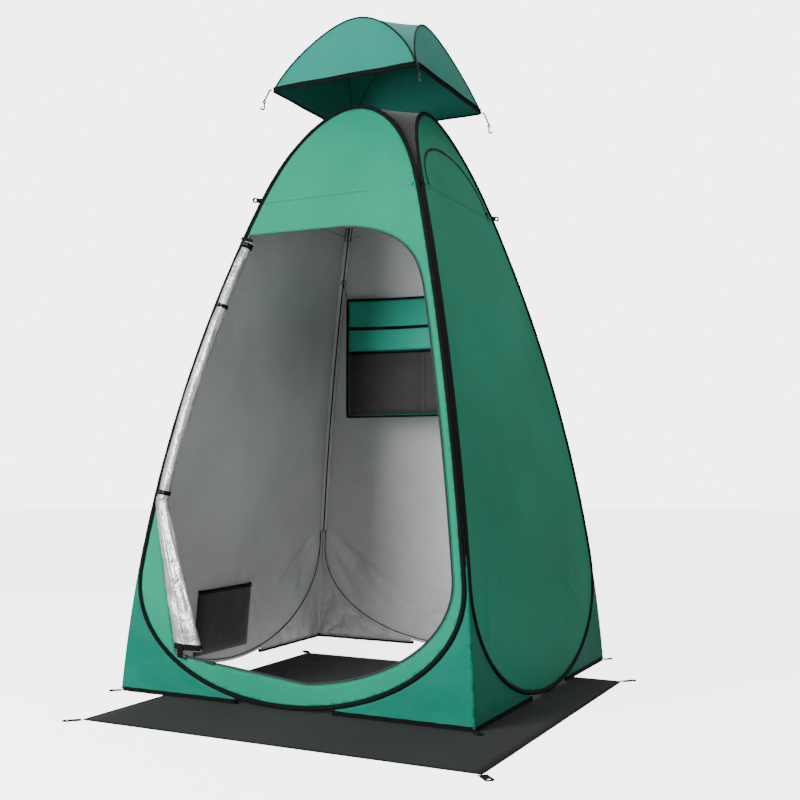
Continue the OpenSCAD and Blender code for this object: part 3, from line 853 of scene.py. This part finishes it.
def corner_lining(k):
    """Silver strip that covers the sleeves from inside, and the thin dark seam up its middle."""
    z = np.linspace(0.44, 1.56, 70)
    wide, proud, hollow = 0.0105, 0.0115, 0.003
    points = [
        (b - proud + wide * a - hollow * (1 - a * a), -b + proud + wide * a + hollow * (1 - a * a), h)
        for b, h in zip(half(z), z)
        for a in np.linspace(-1, 1, 7)
    ]
    return (turn(points, k), quads(len(z), 7)), corner_cord(z, proud + 0.0035, 0.0026, 8, k)


strips, seams = zip(*[corner_lining(k) for k in range(4)])
linings = link("corner_linings", *joined(strips), [SILVER], "tent", "silver_cloth")
thicken(linings, 0.0006, offset=0.0)
tube_piece("corner_lining_seams", seams, BINDING, "tent", "black_binding")


def rounded_corner(b, bend, n):
    """Arc round the front right corner of a square of half width b."""
    a = np.linspace(-math.pi / 2, 0, n)
    return np.stack([b - bend + bend * np.cos(a), -b + bend + bend * np.sin(a)], 1)


def hem(k):
    """Folded tape along the foot, round one corner."""
    b = BASE - 0.0005
    bend = 0.012
    run = np.linspace(GUSSET_END, b - bend, 30)[:-1]
    first = np.stack([run, np.full(29, -b)], 1)
    second = np.stack([np.full(29, b), -run[::-1]], 1)
    flat = np.concatenate([first, rounded_corner(b, bend, 7), second])
    z = 0.0078 + 0.0004 * np.sin(np.arange(len(flat)) * 1.3)
    return swept(turn(np.column_stack([flat, z]), k), band(0.0032, 0.012, 4), False)


def at_corner(b, z, k):
    return turn([[b, -b, z]], k)[0]


tube_piece("foot_hem", [hem(k) for k in range(4)], BINDING, "tent", "black_binding", "hem_binding")
upright = (0, 0, 1)
root = BASE + 0.0005
spots = [(at_corner(root, 0.0028, k), outward(k), sideways(k)) for k in range(4)]
eye_tabs("peg_tabs", spots, 0.036, 0.020, 0.0018, 0.005, "peg_loops")
root = float(half(1.588)) - 0.008
spots = [(at_corner(root, 1.588, k), outward(k), upright) for k in range(4)]
eye_tabs("fly_anchor_tabs", spots, 0.036, 0.016, 0.0018, 0.0045, "fly_tabs")
root = float(half(1.428)) - 0.0013
spots = [(at_corner(root, HANG_Z, k), -outward(k), upright) for k in (1, 2)]
length = (root - HANG) * math.sqrt(2) + 0.008
eye_tabs("organiser_anchor_tabs", spots, length, 0.016, 0.0018, 0.005, "inner_tabs")


# ---------------------------------------------------------------- mesh top


def ruled_corner(x, b, z, n, dip, fall):
    """Points across a corner between two hoops at height z, sagging inwards by dip and down by fall of it."""
    u = np.linspace(0, 1, n + 1)
    a, c = np.array([x, -b, z]), np.array([b, -x, z])
    sag = dip * np.linalg.norm(c - a) * 4 * u * (1 - u)
    inwards = np.array([-1 / math.sqrt(2), 1 / math.sqrt(2), -fall])
    return a + u[:, None] * (c - a) + sag[:, None] * inwards


def top_patch(edges, n, dip):
    """Rows of points that fill the four edges round the top, sagging by dip in the middle."""
    rows = []
    for s in np.linspace(0, 1, n + 1):
        i = round(s * n)
        row = []
        for j in range(n + 1):
            t = j / n
            low, high = edges[0][j], edges[2][n - j]
            left, right = edges[3][n - i], edges[1][i]
            corners = ((1 - s) * (1 - t) * edges[0][0] + (1 - s) * t * edges[0][-1]
                       + s * (1 - t) * edges[2][-1] + s * t * edges[2][0])
            p = (1 - s) * low + s * high + (1 - t) * left + t * right - corners
            p[2] -= dip * math.sin(math.pi * s) * math.sin(math.pi * t)
            row.append(p)
        rows.append(row)
    return rows


def sheet_of(grids):
    """Several grids of points, each a list of rows, as one set of points and faces."""
    return joined([(np.concatenate(rows), quads(len(rows), len(rows[0]))) for rows in grids])


def mesh_top(n=24):
    """Net from hoop to hoop at each corner and flat across the top, as one piece."""
    heights = HOOP_HIGH + (HOOP_TOP - HOOP_HIGH) * np.sin(np.linspace(0.235, math.pi / 2, 26))
    grids = []
    for k in range(4):
        rows = []
        for z in heights:
            dip = 0.0175 * (1 if z < HOOP_TOP else 0.6)
            rows.append(turn(ruled_corner(hoop_x(z), float(half(z)) - 0.006, z, n, dip, 0.6), k))
        grids.append(rows)
    grids.append(top_patch([rows[-1] for rows in grids], n, 0.018))
    piece = link("top_net", *sheet_of(grids), [NET], "tent", "mesh")
    cleaned(piece, weld=1e-4)
    thicken(piece, 0.0008, offset=0.0)
    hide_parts("top_mesh")


mesh_top()


# ---------------------------------------------------------------- door


def roll_w(z):
    """Half the width of the roll, which grows towards its foot."""
    return 0.018 + 0.003 * (ROLL_HEAD - z) / (ROLL_HEAD - ROLL_FOOT)


def roll_centre(z):
    z = np.asarray(z, float)
    return on_wall(np.stack([-half(z) + SEWN_PROUD + roll_w(z), z], 1), 0, 0.003)


def drape_centre(z):
    """Middle of the loose foot of the door, which hangs along the sewn edge below the roll."""
    z = np.asarray(z, float)
    t = (ROLL_FOOT - 0.004 - z) / (ROLL_FOOT - 0.004 - 0.14)
    head_x = DOOR_HEM_SIDE - float(half(ROLL_FOOT))
    sewn = SEWN_FOOT[0] + (head_x - SEWN_FOOT[0]) * (z - SEWN_FOOT[1]) / (ROLL_FOOT - SEWN_FOOT[1])
    return on_wall(np.stack([sewn + 0.022 + 0.030 * t, z], 1), 0, 0.003)


def rolled(zs, centre, rx, ry, turns, fold, seed, foot_step=0.0):
    """Cloth wound into a flat spiral round a line of centres; the outer turns carry long soft folds."""
    n = turns * 30 + 1
    s = np.linspace(0, 1, n)
    angle = 2 * math.pi * turns * (s - 1) - 0.5 * math.pi
    across, outwards = unit([1.0, 0.0, -0.08]), np.array([0, 1.0, 0.1])
    points = []
    for i, z in enumerate(zs):
        down = foot_step * (1 - s) * (i / (len(zs) - 1)) ** 2
        layer = np.column_stack([np.cos(angle) * 2.4, np.sin(angle) * 2.4, np.full(n, z * 9.0)])
        soft = noise_at(layer, 1.0, seed)
        sharp = 1 - 2 * np.abs(noise_at(layer * (2.1, 2.1, 0.8), 1.0, seed + 3))
        ride = fold * (0.55 * soft + 0.45 * sharp) * smooth((s - 0.55) / 0.4)
        r = (0.10 + 0.90 * s) * (1 + ride)
        x, y = rx[i] * r * np.cos(angle), ry[i] * r * np.sin(angle)
        pts = centre[i] + x[:, None] * across + y[:, None] * outwards
        pts[:, 2] += down
        points.append(pts)
    return np.concatenate(points), quads(len(zs), n)


TIES = ((1.424, 0.018), (1.222, 0.012), (0.618, 0.014))     # height and width of each strap


def pinch(z):
    """1 away from the ties and less under them."""
    total = np.zeros_like(z)
    for at, _ in TIES:
        total += np.exp(-(((z - at) / 0.030) ** 2))
    return 1 - np.clip(total, 0, 1)


zs = np.linspace(ROLL_HEAD + 0.006, ROLL_FOOT - 0.002, 110)
swell = pinch(zs)
rx = roll_w(zs) - 0.0015 + 0.0008 * swell
ry = 0.0118 + 0.0034 * swell
points, faces = rolled(zs, roll_centre(zs), rx, ry, 13, 0.30, 71)
door_roll = link("rolled_door", points, faces, [FOIL], "door_roll", "silver_cloth")
thicken(door_roll, 0.0003)
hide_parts("door_roll")

zs = np.linspace(ROLL_FOOT + 0.006, 0.142, 70)
t = np.clip((ROLL_FOOT - zs) / (ROLL_FOOT - 0.14), 0, 1)
tied = np.exp(-(((t - 0.97) / 0.07) ** 2))
rx = 0.0195 + 0.0285 * t - 0.001 * tied
ry = 0.0125 - 0.003 * t + 0.002 * np.sin(math.pi * t) - 0.0010 * tied
mix = smooth(t / 0.06)[:, None]
centres = roll_centre(np.clip(zs, ROLL_FOOT, None)) * (1 - mix) + drape_centre(zs) * mix
centres[:, 2] = zs
points, faces = rolled(zs, centres, rx, ry, 9, 0.42, 83, foot_step=0.03)
drape = link("hanging_door_foot", points, faces, [FOIL], None, "silver_cloth")
thicken(drape, 0.0003)
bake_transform(drape)
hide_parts("door_drape")


def oval_strap(centre, run, across, rx, ry, width, thick):
    """A strap round the rolled cloth."""
    out = np.cross(run, across)
    a = np.linspace(0, 2 * math.pi, 40, endpoint=False)
    ring = centre + rx * np.cos(a)[:, None] * across + ry * np.sin(a)[:, None] * out
    ups = np.cos(a)[:, None] * across / rx + np.sin(a)[:, None] * out / ry
    ups /= np.linalg.norm(ups, axis=1)[:, None]
    return swept(ring, band(width, thick), True, up=ups)


def toggle(centre, axis, length, r, up):
    """A small waisted bar."""
    at = np.array([-0.5, -0.48, -0.42, -0.2, 0, 0.2, 0.42, 0.48, 0.5])
    size = np.array([0.45, 0.8, 1, 1, 0.86, 1, 1, 0.8, 0.45])
    return swept(centre + at[:, None] * length * axis, circle(r, 14), False, up=up, scale=size)


def roll_axes(z):
    """Directions along, across and out of the roll at height z."""
    s = float(slope(z))
    run, across = unit([-s, -s, 1.0]), unit([1.0, 0, s])
    return run, across, np.cross(across, run)


LOOP = ((-0.004, -0.003), (-0.004, 0.003), (0, 0.0046), (0.004, 0.003), (0.004, -0.003))
HEAD_TIE = 1.440
straps, toggles = [], []
for z, width in TIES:
    run, across, out = roll_axes(z)
    centre = roll_centre([z])[0]
    straps.append(oval_strap(centre, run, across, float(roll_w(z)) + 0.0011, 0.0162, width, 0.0013))
    front = centre + 0.004 * across + 0.019 * out
    toggles.append(toggle(front, across, 0.024, 0.0034, out))
    loop = [front + s * run + d * out for s, d in LOOP]
    straps.append(swept(loop, circle(0.0012, 8), False, up=across))
run, across, out = roll_axes(HEAD_TIE)
head_strap = roll_centre([HEAD_TIE])[0] + np.linspace(-0.021, 0.026, 9)[:, None] * across + 0.0185 * out
straps.append(swept(head_strap, band(0.011, 0.0016)[:, ::-1], False, up=run))
tie_straps = tube_piece("roll_tie_straps", straps, WEBBING, "door_roll", "webbing")
tie_toggles = tube_piece("roll_tie_toggles", toggles, BLACK_PLASTIC, "door_roll", "webbing", "door_roll_ties")

foot_z = ROLL_FOOT - 0.004 - (ROLL_FOOT - 0.144) * 0.97
centre = drape_centre([foot_z])[0]
strap = oval_strap(centre, np.array([0, 0, 1.0]), unit([1.0, 0, -0.02]), 0.0511, 0.0122, 0.018, 0.0016)
hang = np.linspace(0, 1, 9)
tail = [-0.019 + 0.002 * np.sin(3 * hang), -0.0142 - 0.0022 * np.sin(math.pi * hang), 0.003 - 0.036 * hang]
tail = swept(centre + np.stack(tail, 1), band(0.022, 0.0018), False, up=(0, -1, 0))
drape_tie = tube_piece("drape_tie", [strap, tail], WEBBING, "tent", "webbing", "door_drape_tie")

zip_line = np.concatenate(door_zip_side())
zip_line = shifted(np.concatenate([zip_line, zip_line[-2:-1] - (0.1, 0.4)]), 0.003)[1:-2]
ups = on_wall(zip_line, 0, 1.0) - on_wall(zip_line, 0)
tape, coil = zip_parts(on_wall(zip_line, 0), ups, 0.0066, 0.0002)
tube_piece("door_zip_tape_piece", [tape], ZIP_TAPE, "tent", "zip_tape", "door_zip_tape")
tube_piece("door_zip_coil", [coil], BLACK_PLASTIC, "tent", "zip_tape")
row = on_wall(shifted(zip_line, 0.006)[1:-1], 0, 0.0007)
tube_piece("door_hem_stitches", [stitches(row, (0, -1, 0.1))], DARK_THREAD, "tent", "black_binding")


# ---------------------------------------------------------------- window

flat, tris, edge = cut_cloth(shifted(window_outline(), -0.0015), (), 0.010)
layer = np.column_stack([flat, np.full(len(flat), 1.7)])
lift = smooth((edge - 0.006) / 0.04) * (0.0024 * noise_at(layer, 0.14, 5) + 0.0008 * noise_at(layer, 0.05, 6))
flap = link("window_flap_cloth", on_wall(flat, 1, lift), tris, [GREEN, SILVER], "window", "wall_cloth")
thicken(flap, CLOTH, lining=1, offset=-1.0)
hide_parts("window_flap")
declare_cut(flat, tris)
arc = shifted(window_outline(40), 0.0035)[2:80]
arc = arc[arc[:, 1] > SEAM_Z + 0.004]
ups = on_wall(arc, 1, 1.0) - on_wall(arc, 1)
tape, coil = zip_parts(on_wall(arc, 1), ups, 0.0076, 0.0008)
tube_piece("window_zip_tape_piece", [tape], BINDING, "tent", "zip_tape", "window_zip_tape")
tube_piece("window_zip_coil", [coil], BLACK_PLASTIC, "tent", "zip_tape")
row = on_wall(shifted(arc, 0.0065)[1:-1], 1, 0.0007)
tube_piece("window_stitches", [stitches(row, (1, 0, 0.1))], THREAD, "tent", "black_binding")


# ---------------------------------------------------------------- pockets and organiser


def pouch(name, place, size, depth, material, node, body, slot, seed, seams=(), bound=None):
    """An open-topped pocket: sewn down at its sides, foot and seams, bulging between.

    place maps [x, out, z]. With bound, the rim is wide and stands for that CAD node.
    """
    columns, rows = 49, 31
    width, height = size
    points = []
    for b in np.linspace(0, 1, rows):
        for a in np.linspace(-1, 1, columns):
            near = min([abs(a - s) for s in seams] + [1.0])
            wide = (1 - abs(a) ** 10) * min(1.0, b / 0.10) ** 0.5 * min(1.0, near / 0.07) ** 0.5
            wave = 0.5 + 0.5 * noise.noise(Vector((a * 3.1, b * 2.2, seed)))
            ripple = 1 - 0.28 * wave * (0.35 + 0.65 * b)
            points.append((a * width / 2, depth * (0.06 + 0.94 * wide * ripple), b * height))
    points = np.array(points)
    piece = link(name, place(points), quads(rows, columns), [material], body, slot)
    thicken(piece, 0.0007, offset=0.0)
    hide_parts(node)
    up = place([[0, 0, 1]])[0] - place([[0, 0, 0]])[0]
    tape = swept(place(points[-columns:]), band(0.0022, 0.012 if bound else 0.006), False, up=up)
    edge = tube_piece(name + "_rim", [tape], BINDING, body, "black_binding", *([bound] if bound else []))


POCKET_X, POCKET_FOOT = 0.085, 0.048
lean = float(slope(0.155))
tall = math.sqrt(1 + lean * lean)


def on_left_wall(p):
    """[along the wall, into the tent, up] for the pocket on the left wall, leaning with it."""
    p = np.asarray(p, float).reshape(-1, 3)
    depth = float(half(POCKET_FOOT)) - 0.003 - p[:, 1] / tall + p[:, 2] * lean / tall
    z = POCKET_FOOT + p[:, 2] / tall + p[:, 1] * lean / tall
    return turn(np.stack([POCKET_X + p[:, 0], -depth, z], 1), 3)


pouch(
    "wall_pocket_net", on_left_wall, (0.318, 0.222), 0.0135, NET_DENSE, "wall_pocket", "tent", "mesh", 3.3,
    bound="wall_pocket_binding",
)

ORG_HALF = 0.320
ORG_TOP = 1.340
ORG_H = 0.450
ORG_Y = HANG + 0.004


def sag(x, z):
    """How far the organiser hangs below a straight line between its two cords."""
    up = (z - (ORG_TOP - ORG_H)) / ORG_H
    return -0.010 * np.maximum(up, 0) * np.clip(1 - (x / ORG_HALF) ** 2, 0, 1)


def on_organiser(p):
    """[x, towards the door, up from the organiser's foot]"""
    p = np.asarray(p, float).reshape(-1, 3)
    x, z = p[:, 0], ORG_TOP - ORG_H + p[:, 2]
    ripple = 0.0010 * np.sin(x * 21 + z * 5) * np.clip((z - 0.9) * 3, 0, 1)
    return np.stack([x, ORG_Y - p[:, 1] + ripple, z + sag(x, z)], 1)


def on_sheet(flat, out):
    """Points [x, z] of the organiser's sheet, out metres proud of it."""
    return on_organiser(np.column_stack([flat[:, 0], np.full(len(flat), out), flat[:, 1]]))


outline = np.array([[-ORG_HALF, 0], [ORG_HALF, 0], [ORG_HALF, ORG_H], [-ORG_HALF, ORG_H]], float)
flat, tris, edge = cut_cloth(outline, (), 0.012)
back = on_sheet(flat, -0.0005)
sheet = link("organiser_back", back, tris, [ORGANISER_GREEN], "organiser", "wall_cloth")
thicken(sheet, 0.0008, offset=0.0)
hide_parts("organiser_sheet")
loop = on_sheet(resampled(outline, 0.02), -0.0006)
tape = swept(loop, band(0.0036, 0.010, 4)[:, ::-1], True, up=(0, -1, 0))
bound = tube_piece("organiser_edge", [tape], BINDING, "organiser", "black_binding", "organiser_binding")
rows = []
for z in (0.340, 0.244):
    x = np.linspace(-ORG_HALF + 0.006, ORG_HALF - 0.006, 40)
    line = on_sheet(np.stack([x, np.full(40, z)], 1), 0.0006)
    rows.append(swept(line, band(0.0014, 0.009)[:, ::-1], False, up=(0, -1, 0)))
tapes = tube_piece("organiser_tapes", rows, BINDING, "organiser", "black_binding")


def lifted(height):
    """Places a pocket's points that far above the organiser's foot."""
    def place(p):
        p = np.asarray(p, float).reshape(-1, 3)
        return on_organiser(p + (0, 0.0012, height))
    return place


pouch(
    "organiser_cloth_pocket", lifted(0.250), (0.628, 0.084), 0.0105, ORGANISER_GREEN,
    "organiser_top_pocket", "organiser", "wall_cloth", 5.1,
)
pouch(
    "organiser_net_pockets", lifted(0.006), (0.628, 0.236), 0.0105, NET_DENSE,
    "organiser_mesh_pocket", "organiser", "mesh", 8.2, seams=(0.0,),
)

def braided(line, r, swing, turns):
    """Section of a cord, and its size at each point of the line, rippled like a braid."""
    return circle(r, 8), 1 + swing * np.sin(np.arange(len(line)) * turns)


RING_R = 0.009
ring_z = HANG_Z - 0.0025 - RING_R
rings, cords = [], []
for e in (-1, 1):
    across = unit([1, -e, 0])
    ring = np.array([e * HANG, HANG, ring_z]) + standing_ring(RING_R, 28, across)
    rings.append(swept(ring, circle(0.0014, 10), True, up=np.cross(across, upright)))
    line, _ = along([
        (e * (ORG_HALF + 0.003), ORG_Y + 0.00075, ORG_TOP + 0.0053),
        (e * (ORG_HALF + 0.008), ORG_Y, ORG_TOP + 0.020),
        (e * (HANG - 0.004), ORG_Y - 0.002, ring_z - 0.024),
        (e * HANG, HANG, ring_z - RING_R - 0.0015),
    ], 0.002)
    section, ripple = braided(line, 0.0014, 0.12, 1.9)
    cords.append(swept(line, section, False, up=(0, 1, 0), scale=ripple))
    knot = line[-4] + np.outer((-0.003, -0.0012, 0.0012, 0.003), upright)
    cords.append(swept(knot, circle(0.0032, 10), False, up=(0, 1, 0), scale=[0.4, 1, 1, 0.4]))
tube_piece("organiser_rings", rings, BLACK_METAL, "organiser", "hook_plastic", "organiser_hooks")
tube_piece("organiser_cords", cords, ELASTIC, "organiser", "elastic")


# ---------------------------------------------------------------- rain fly

FLY_LOW = 1.965
FLY_LIFT = 0.265
FLY_H = 0.235
FLY_FOOT = FLY_LOW + 0.004


def fly_half(z):
    return half(np.asarray(z, float) - FLY_LIFT) + 0.010


def fly_arch(n=26):
    v = np.sin(np.linspace(0, math.pi / 2, n))
    z = FLY_FOOT + (FLY_LOW + FLY_H - FLY_FOOT) * v
    w = np.maximum(0.0, (fly_half(z) - 0.002) * np.sqrt(np.clip(1 - v**2, 0, 1)))
    return w, z


def canopy(n=24):
    """One sheet: four arched faces, the ruled corners between them, and a diamond across the top."""
    grids, top_edges = [], []
    for k in range(4):
        arch, corner = [], []
        for x, h in zip(*fly_arch()):
            b = float(fly_half(h))
            s = np.linspace(-1, 1, 2 * n + 1)
            t = (h - FLY_FOOT) / (FLY_H - 0.004)
            belly = 0.0035 * np.array([noise.noise(Vector((x * a * 7, h * 9, k * 3.3))) for a in s])
            belly *= (1 - s**8) * min(1, 6 * (1 - t))
            arch.append(turn(np.stack([x * s, -b + belly, np.full(len(s), h)], 1), k))
            corner.append(turn(ruled_corner(x, b, h, n, 0.027, 0.5), k))
        grids += [arch, corner]
        top_edges.append(corner[-1])
    grids.append(top_patch(top_edges, n, 0.016))
    piece = link("fly_cloth", *sheet_of(grids), [FLY_GREEN], "fly", "fly_cloth")
    cleaned(piece, weld=2e-4)
    thicken(piece, CLOTH, offset=-1.0)
    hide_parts("fly_canopy")
    return piece


fly = canopy()
w, z = fly_arch(40)
right = np.stack([w, -fly_half(z) - 0.0008, z + 0.0006], 1)
arch_line = np.concatenate([right, (right[:-1] * (-1, 1, 1))[::-1]])
parts = [
    swept(turn(arch_line, k), circle(0.0026, 10), False, up=turn([[0, -1, 0.1]], k)[0])
    for k in range(4)
]
piping = tube_piece("fly_piping", parts, BINDING, "fly", "black_binding", "fly_arch_piping")
b = float(fly_half(FLY_LOW))
corner = np.column_stack([rounded_corner(b, 0.014, 8), np.zeros(8)])
square = resampled(np.concatenate([turn(corner, k)[:, :2] for k in range(4)]), 0.03)
level = FLY_LOW + 0.0065 + 0.0008 * np.sin(np.arange(len(square)) * 0.9)
tape = swept(np.column_stack([square, level]), band(0.0028, 0.013, 4), True)
edge_band = tube_piece("fly_edge", [tape], BINDING, "fly", "black_binding", "fly_edge_binding")

fly_corner = b + 0.0013
eye = np.array([fly_corner + 0.019, -fly_corner - 0.019, FLY_LOW - 0.040])
start = np.array([fly_corner + 0.0005, -fly_corner - 0.0005, FLY_LOW + 0.006])
knots = [start, start + (0.006, -0.006, -0.004), eye + (-0.003, 0.003, 0.012), eye + (0, 0, 0.006)]
line, _ = along(knots, 0.0015)
section, ripple = braided(line, 0.0027, 0.13, 1.6)
parts = [swept(turn(line, k), section, False, up=sideways(k), scale=ripple) for k in range(4)]
tube_piece("fly_elastic_cords", parts, ELASTIC, "fly", "elastic", "fly_elastics")


def hook_parts(k):
    """J-shaped hook that hangs from its elastic by a round eye, and opens upwards and outwards."""
    bar, eye_r, bend_r = 0.0027, 0.004, 0.006
    pivot = turn([eye], k)[0]
    out = unit(outward(k))
    side = np.cross(out, upright)
    shank = [(0, -eye_r), (0, -0.010), (0, -0.016)]
    sweep = np.linspace(math.pi, 2 * math.pi + 0.25, 18)
    bend = [(bend_r + bend_r * math.cos(t), -0.020 + bend_r * math.sin(t)) for t in sweep]
    line = np.array([pivot + x * out + np.array([0, 0, z]) for x, z in shank + bend])
    size = np.ones(len(line))
    size[-1] = 0.55
    ring = swept(pivot + standing_ring(eye_r, 24, out), circle(bar * 0.9, 10), True, up=side)
    return [ring, swept(line, circle(bar, 10), False, up=side, scale=size)]


for k, corner in enumerate(CORNERS):
    body = f"fly_hook_{corner}"
    tube_piece(f"{corner}_fly_hook", hook_parts(k), BLACK_PLASTIC, body, "hook_plastic", body)


# ---------------------------------------------------------------- floor mat

MAT = 1.200
MAT_X, MAT_Y = 0.165, -0.355


def on_mat(flat, z):
    flat = np.asarray(flat, float).reshape(-1, 2)
    return np.stack([flat[:, 0] + MAT_X, flat[:, 1] + MAT_Y, np.broadcast_to(z, (len(flat),))], 1)


edge_at = MAT / 2 - 0.006
square = edge_at * np.array([[-1, -1], [1, -1], [1, 1], [-1, 1]])
flat, tris, edge = cut_cloth(square, (), 0.022)
mat = link("mat_sheet", on_mat(flat, 0.0013), tris, [MAT_CLOTH], "mat", "mat_cloth")
thicken(mat, 0.0010, offset=-1.0)
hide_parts("floor_mat")
loop = resampled(square, 0.02)
tape = swept(on_mat(loop, 0.00078), band(0.012, 0.0014), True)
mat_edge = tube_piece("mat_edge", [tape], BINDING, "mat", "black_binding", "mat_binding")
row = stitches(on_mat(resampled(square * 0.9915, 0.05), 0.00145), upright, 0.009, 0.006, 0.0003)
mat_rows = tube_piece("mat_stitches", [row], DARK_THREAD, "mat", "black_binding")
root = MAT / 2 + 0.0004
spots = [
    (at_corner(root, 0.00075, k) + (MAT_X, MAT_Y, 0), outward(k), sideways(k))
    for k in range(4)
]
eye_tabs("mat_corner_tabs", spots, 0.050, 0.024, 0.0013, 0.006, "mat_tabs", body="mat")


# ---------------------------------------------------------------- CAD pieces that keep their shape

CARRIED = {f"{side}_spring_hoop": STEEL for side in SIDES}
CARRIED |= {"hoop_ferrules": FERRULE, "door_zip_slider": BLACK_METAL, "window_zip_slider": BLACK_METAL}
for name, material in CARRIED.items():
    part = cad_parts[name]
    if not part.material_slots:
        part.data.materials.append(None)
    for held_slot in part.material_slots:
        held_slot.link = "OBJECT"
        held_slot.material = material
for name in ("door_zip_slider", "window_zip_slider"):
    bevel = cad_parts[name].modifiers.new("rounding", "BEVEL")
    bevel.width = 0.0006
    bevel.segments = 3


# ---------------------------------------------------------------- floor, light and camera

STUDIO_R = 14.0
FLOOR_GLOW = 3.7
SKY_GLOW = 5.0
SOFT_LIGHT = 0.45


def stage_piece(name, colour, glow, make):
    """Floor or backdrop: white to the camera, and unseen by light that bounces."""
    mesh = bpy.data.meshes.new(name)
    bm = bmesh.new()
    make(bm)
    bm.to_mesh(mesh)
    bm.free()
    piece = bpy.data.objects.new(name, mesh)
    bpy.context.scene.collection.objects.link(piece)
    mat, _, _, shader = new_material(name + "_white")
    shader.inputs["Base Color"].default_value = (*colour, 1)
    shader.inputs["Roughness"].default_value = 0.9
    shader.inputs["Specular IOR Level"].default_value = 0.0
    shader.inputs["Emission Color"].default_value = (1, 1, 1, 1)
    shader.inputs["Emission Strength"].default_value = glow
    mesh.materials.append(mat)
    piece.visible_diffuse = False
    piece.visible_glossy = False
    piece.visible_transmission = False
    return piece


floor = stage_piece(
    "studio_floor", (0.9, 0.9, 0.9), FLOOR_GLOW,
    lambda bm: bmesh.ops.create_circle(bm, cap_ends=True, radius=STUDIO_R, segments=96),
)
floor.location.z = -0.0002
backdrop = stage_piece(
    "studio_backdrop", (0.0, 0.0, 0.0), SKY_GLOW,
    lambda bm: bmesh.ops.create_icosphere(bm, subdivisions=4, radius=STUDIO_R),
)
backdrop.visible_shadow = False

world = bpy.data.worlds.new("studio")
bpy.context.scene.world = world
world.use_nodes = True
sky = next(n for n in world.node_tree.nodes if n.type == "BACKGROUND")
sky.inputs["Color"].default_value = (1, 1, 1, 1)
sky.inputs["Strength"].default_value = SOFT_LIGHT


def area_light(name, place, target, size, power):
    """Square lamp at place, aimed at target."""
    data = bpy.data.lights.new(name, "AREA")
    data.shape = "SQUARE"
    data.size = size
    data.energy = power
    lamp = bpy.data.objects.new(name, data)
    lamp.location = place
    lamp.rotation_euler = (Vector(target) - Vector(place)).to_track_quat("-Z", "Y").to_euler()
    bpy.context.scene.collection.objects.link(lamp)


area_light("key", (-1.9, -4.8, 2.9), (0, 0, 0.9), 2.4, 340)
area_light("fill", (4.2, -2.4, 2.2), (0, 0, 1.0), 3.0, 15)
area_light("door_fill", (-1.5, -4.0, 1.0), (0.1, 0.5, 0.9), 1.2, 75)
area_light("top", (0.3, 0.6, 4.6), (0, 0, 1.0), 3.0, 60)

CAMERA_AT = Vector((1.734, -3.308, 0.711))
YAW = math.radians(26.617)
PITCH = math.radians(3.335)
ahead = Vector((-math.sin(YAW) * math.cos(PITCH), math.cos(YAW) * math.cos(PITCH), math.sin(PITCH)))
lens = bpy.data.cameras.new("camera")
lens.lens = 49.07
lens.sensor_width = 36.0
lens.clip_start = 0.05
camera = bpy.data.objects.new("camera", lens)
camera.location = CAMERA_AT
camera.rotation_euler = ahead.to_track_quat("-Z", "Y").to_euler()
bpy.context.scene.collection.objects.link(camera)
bpy.context.scene.camera = camera
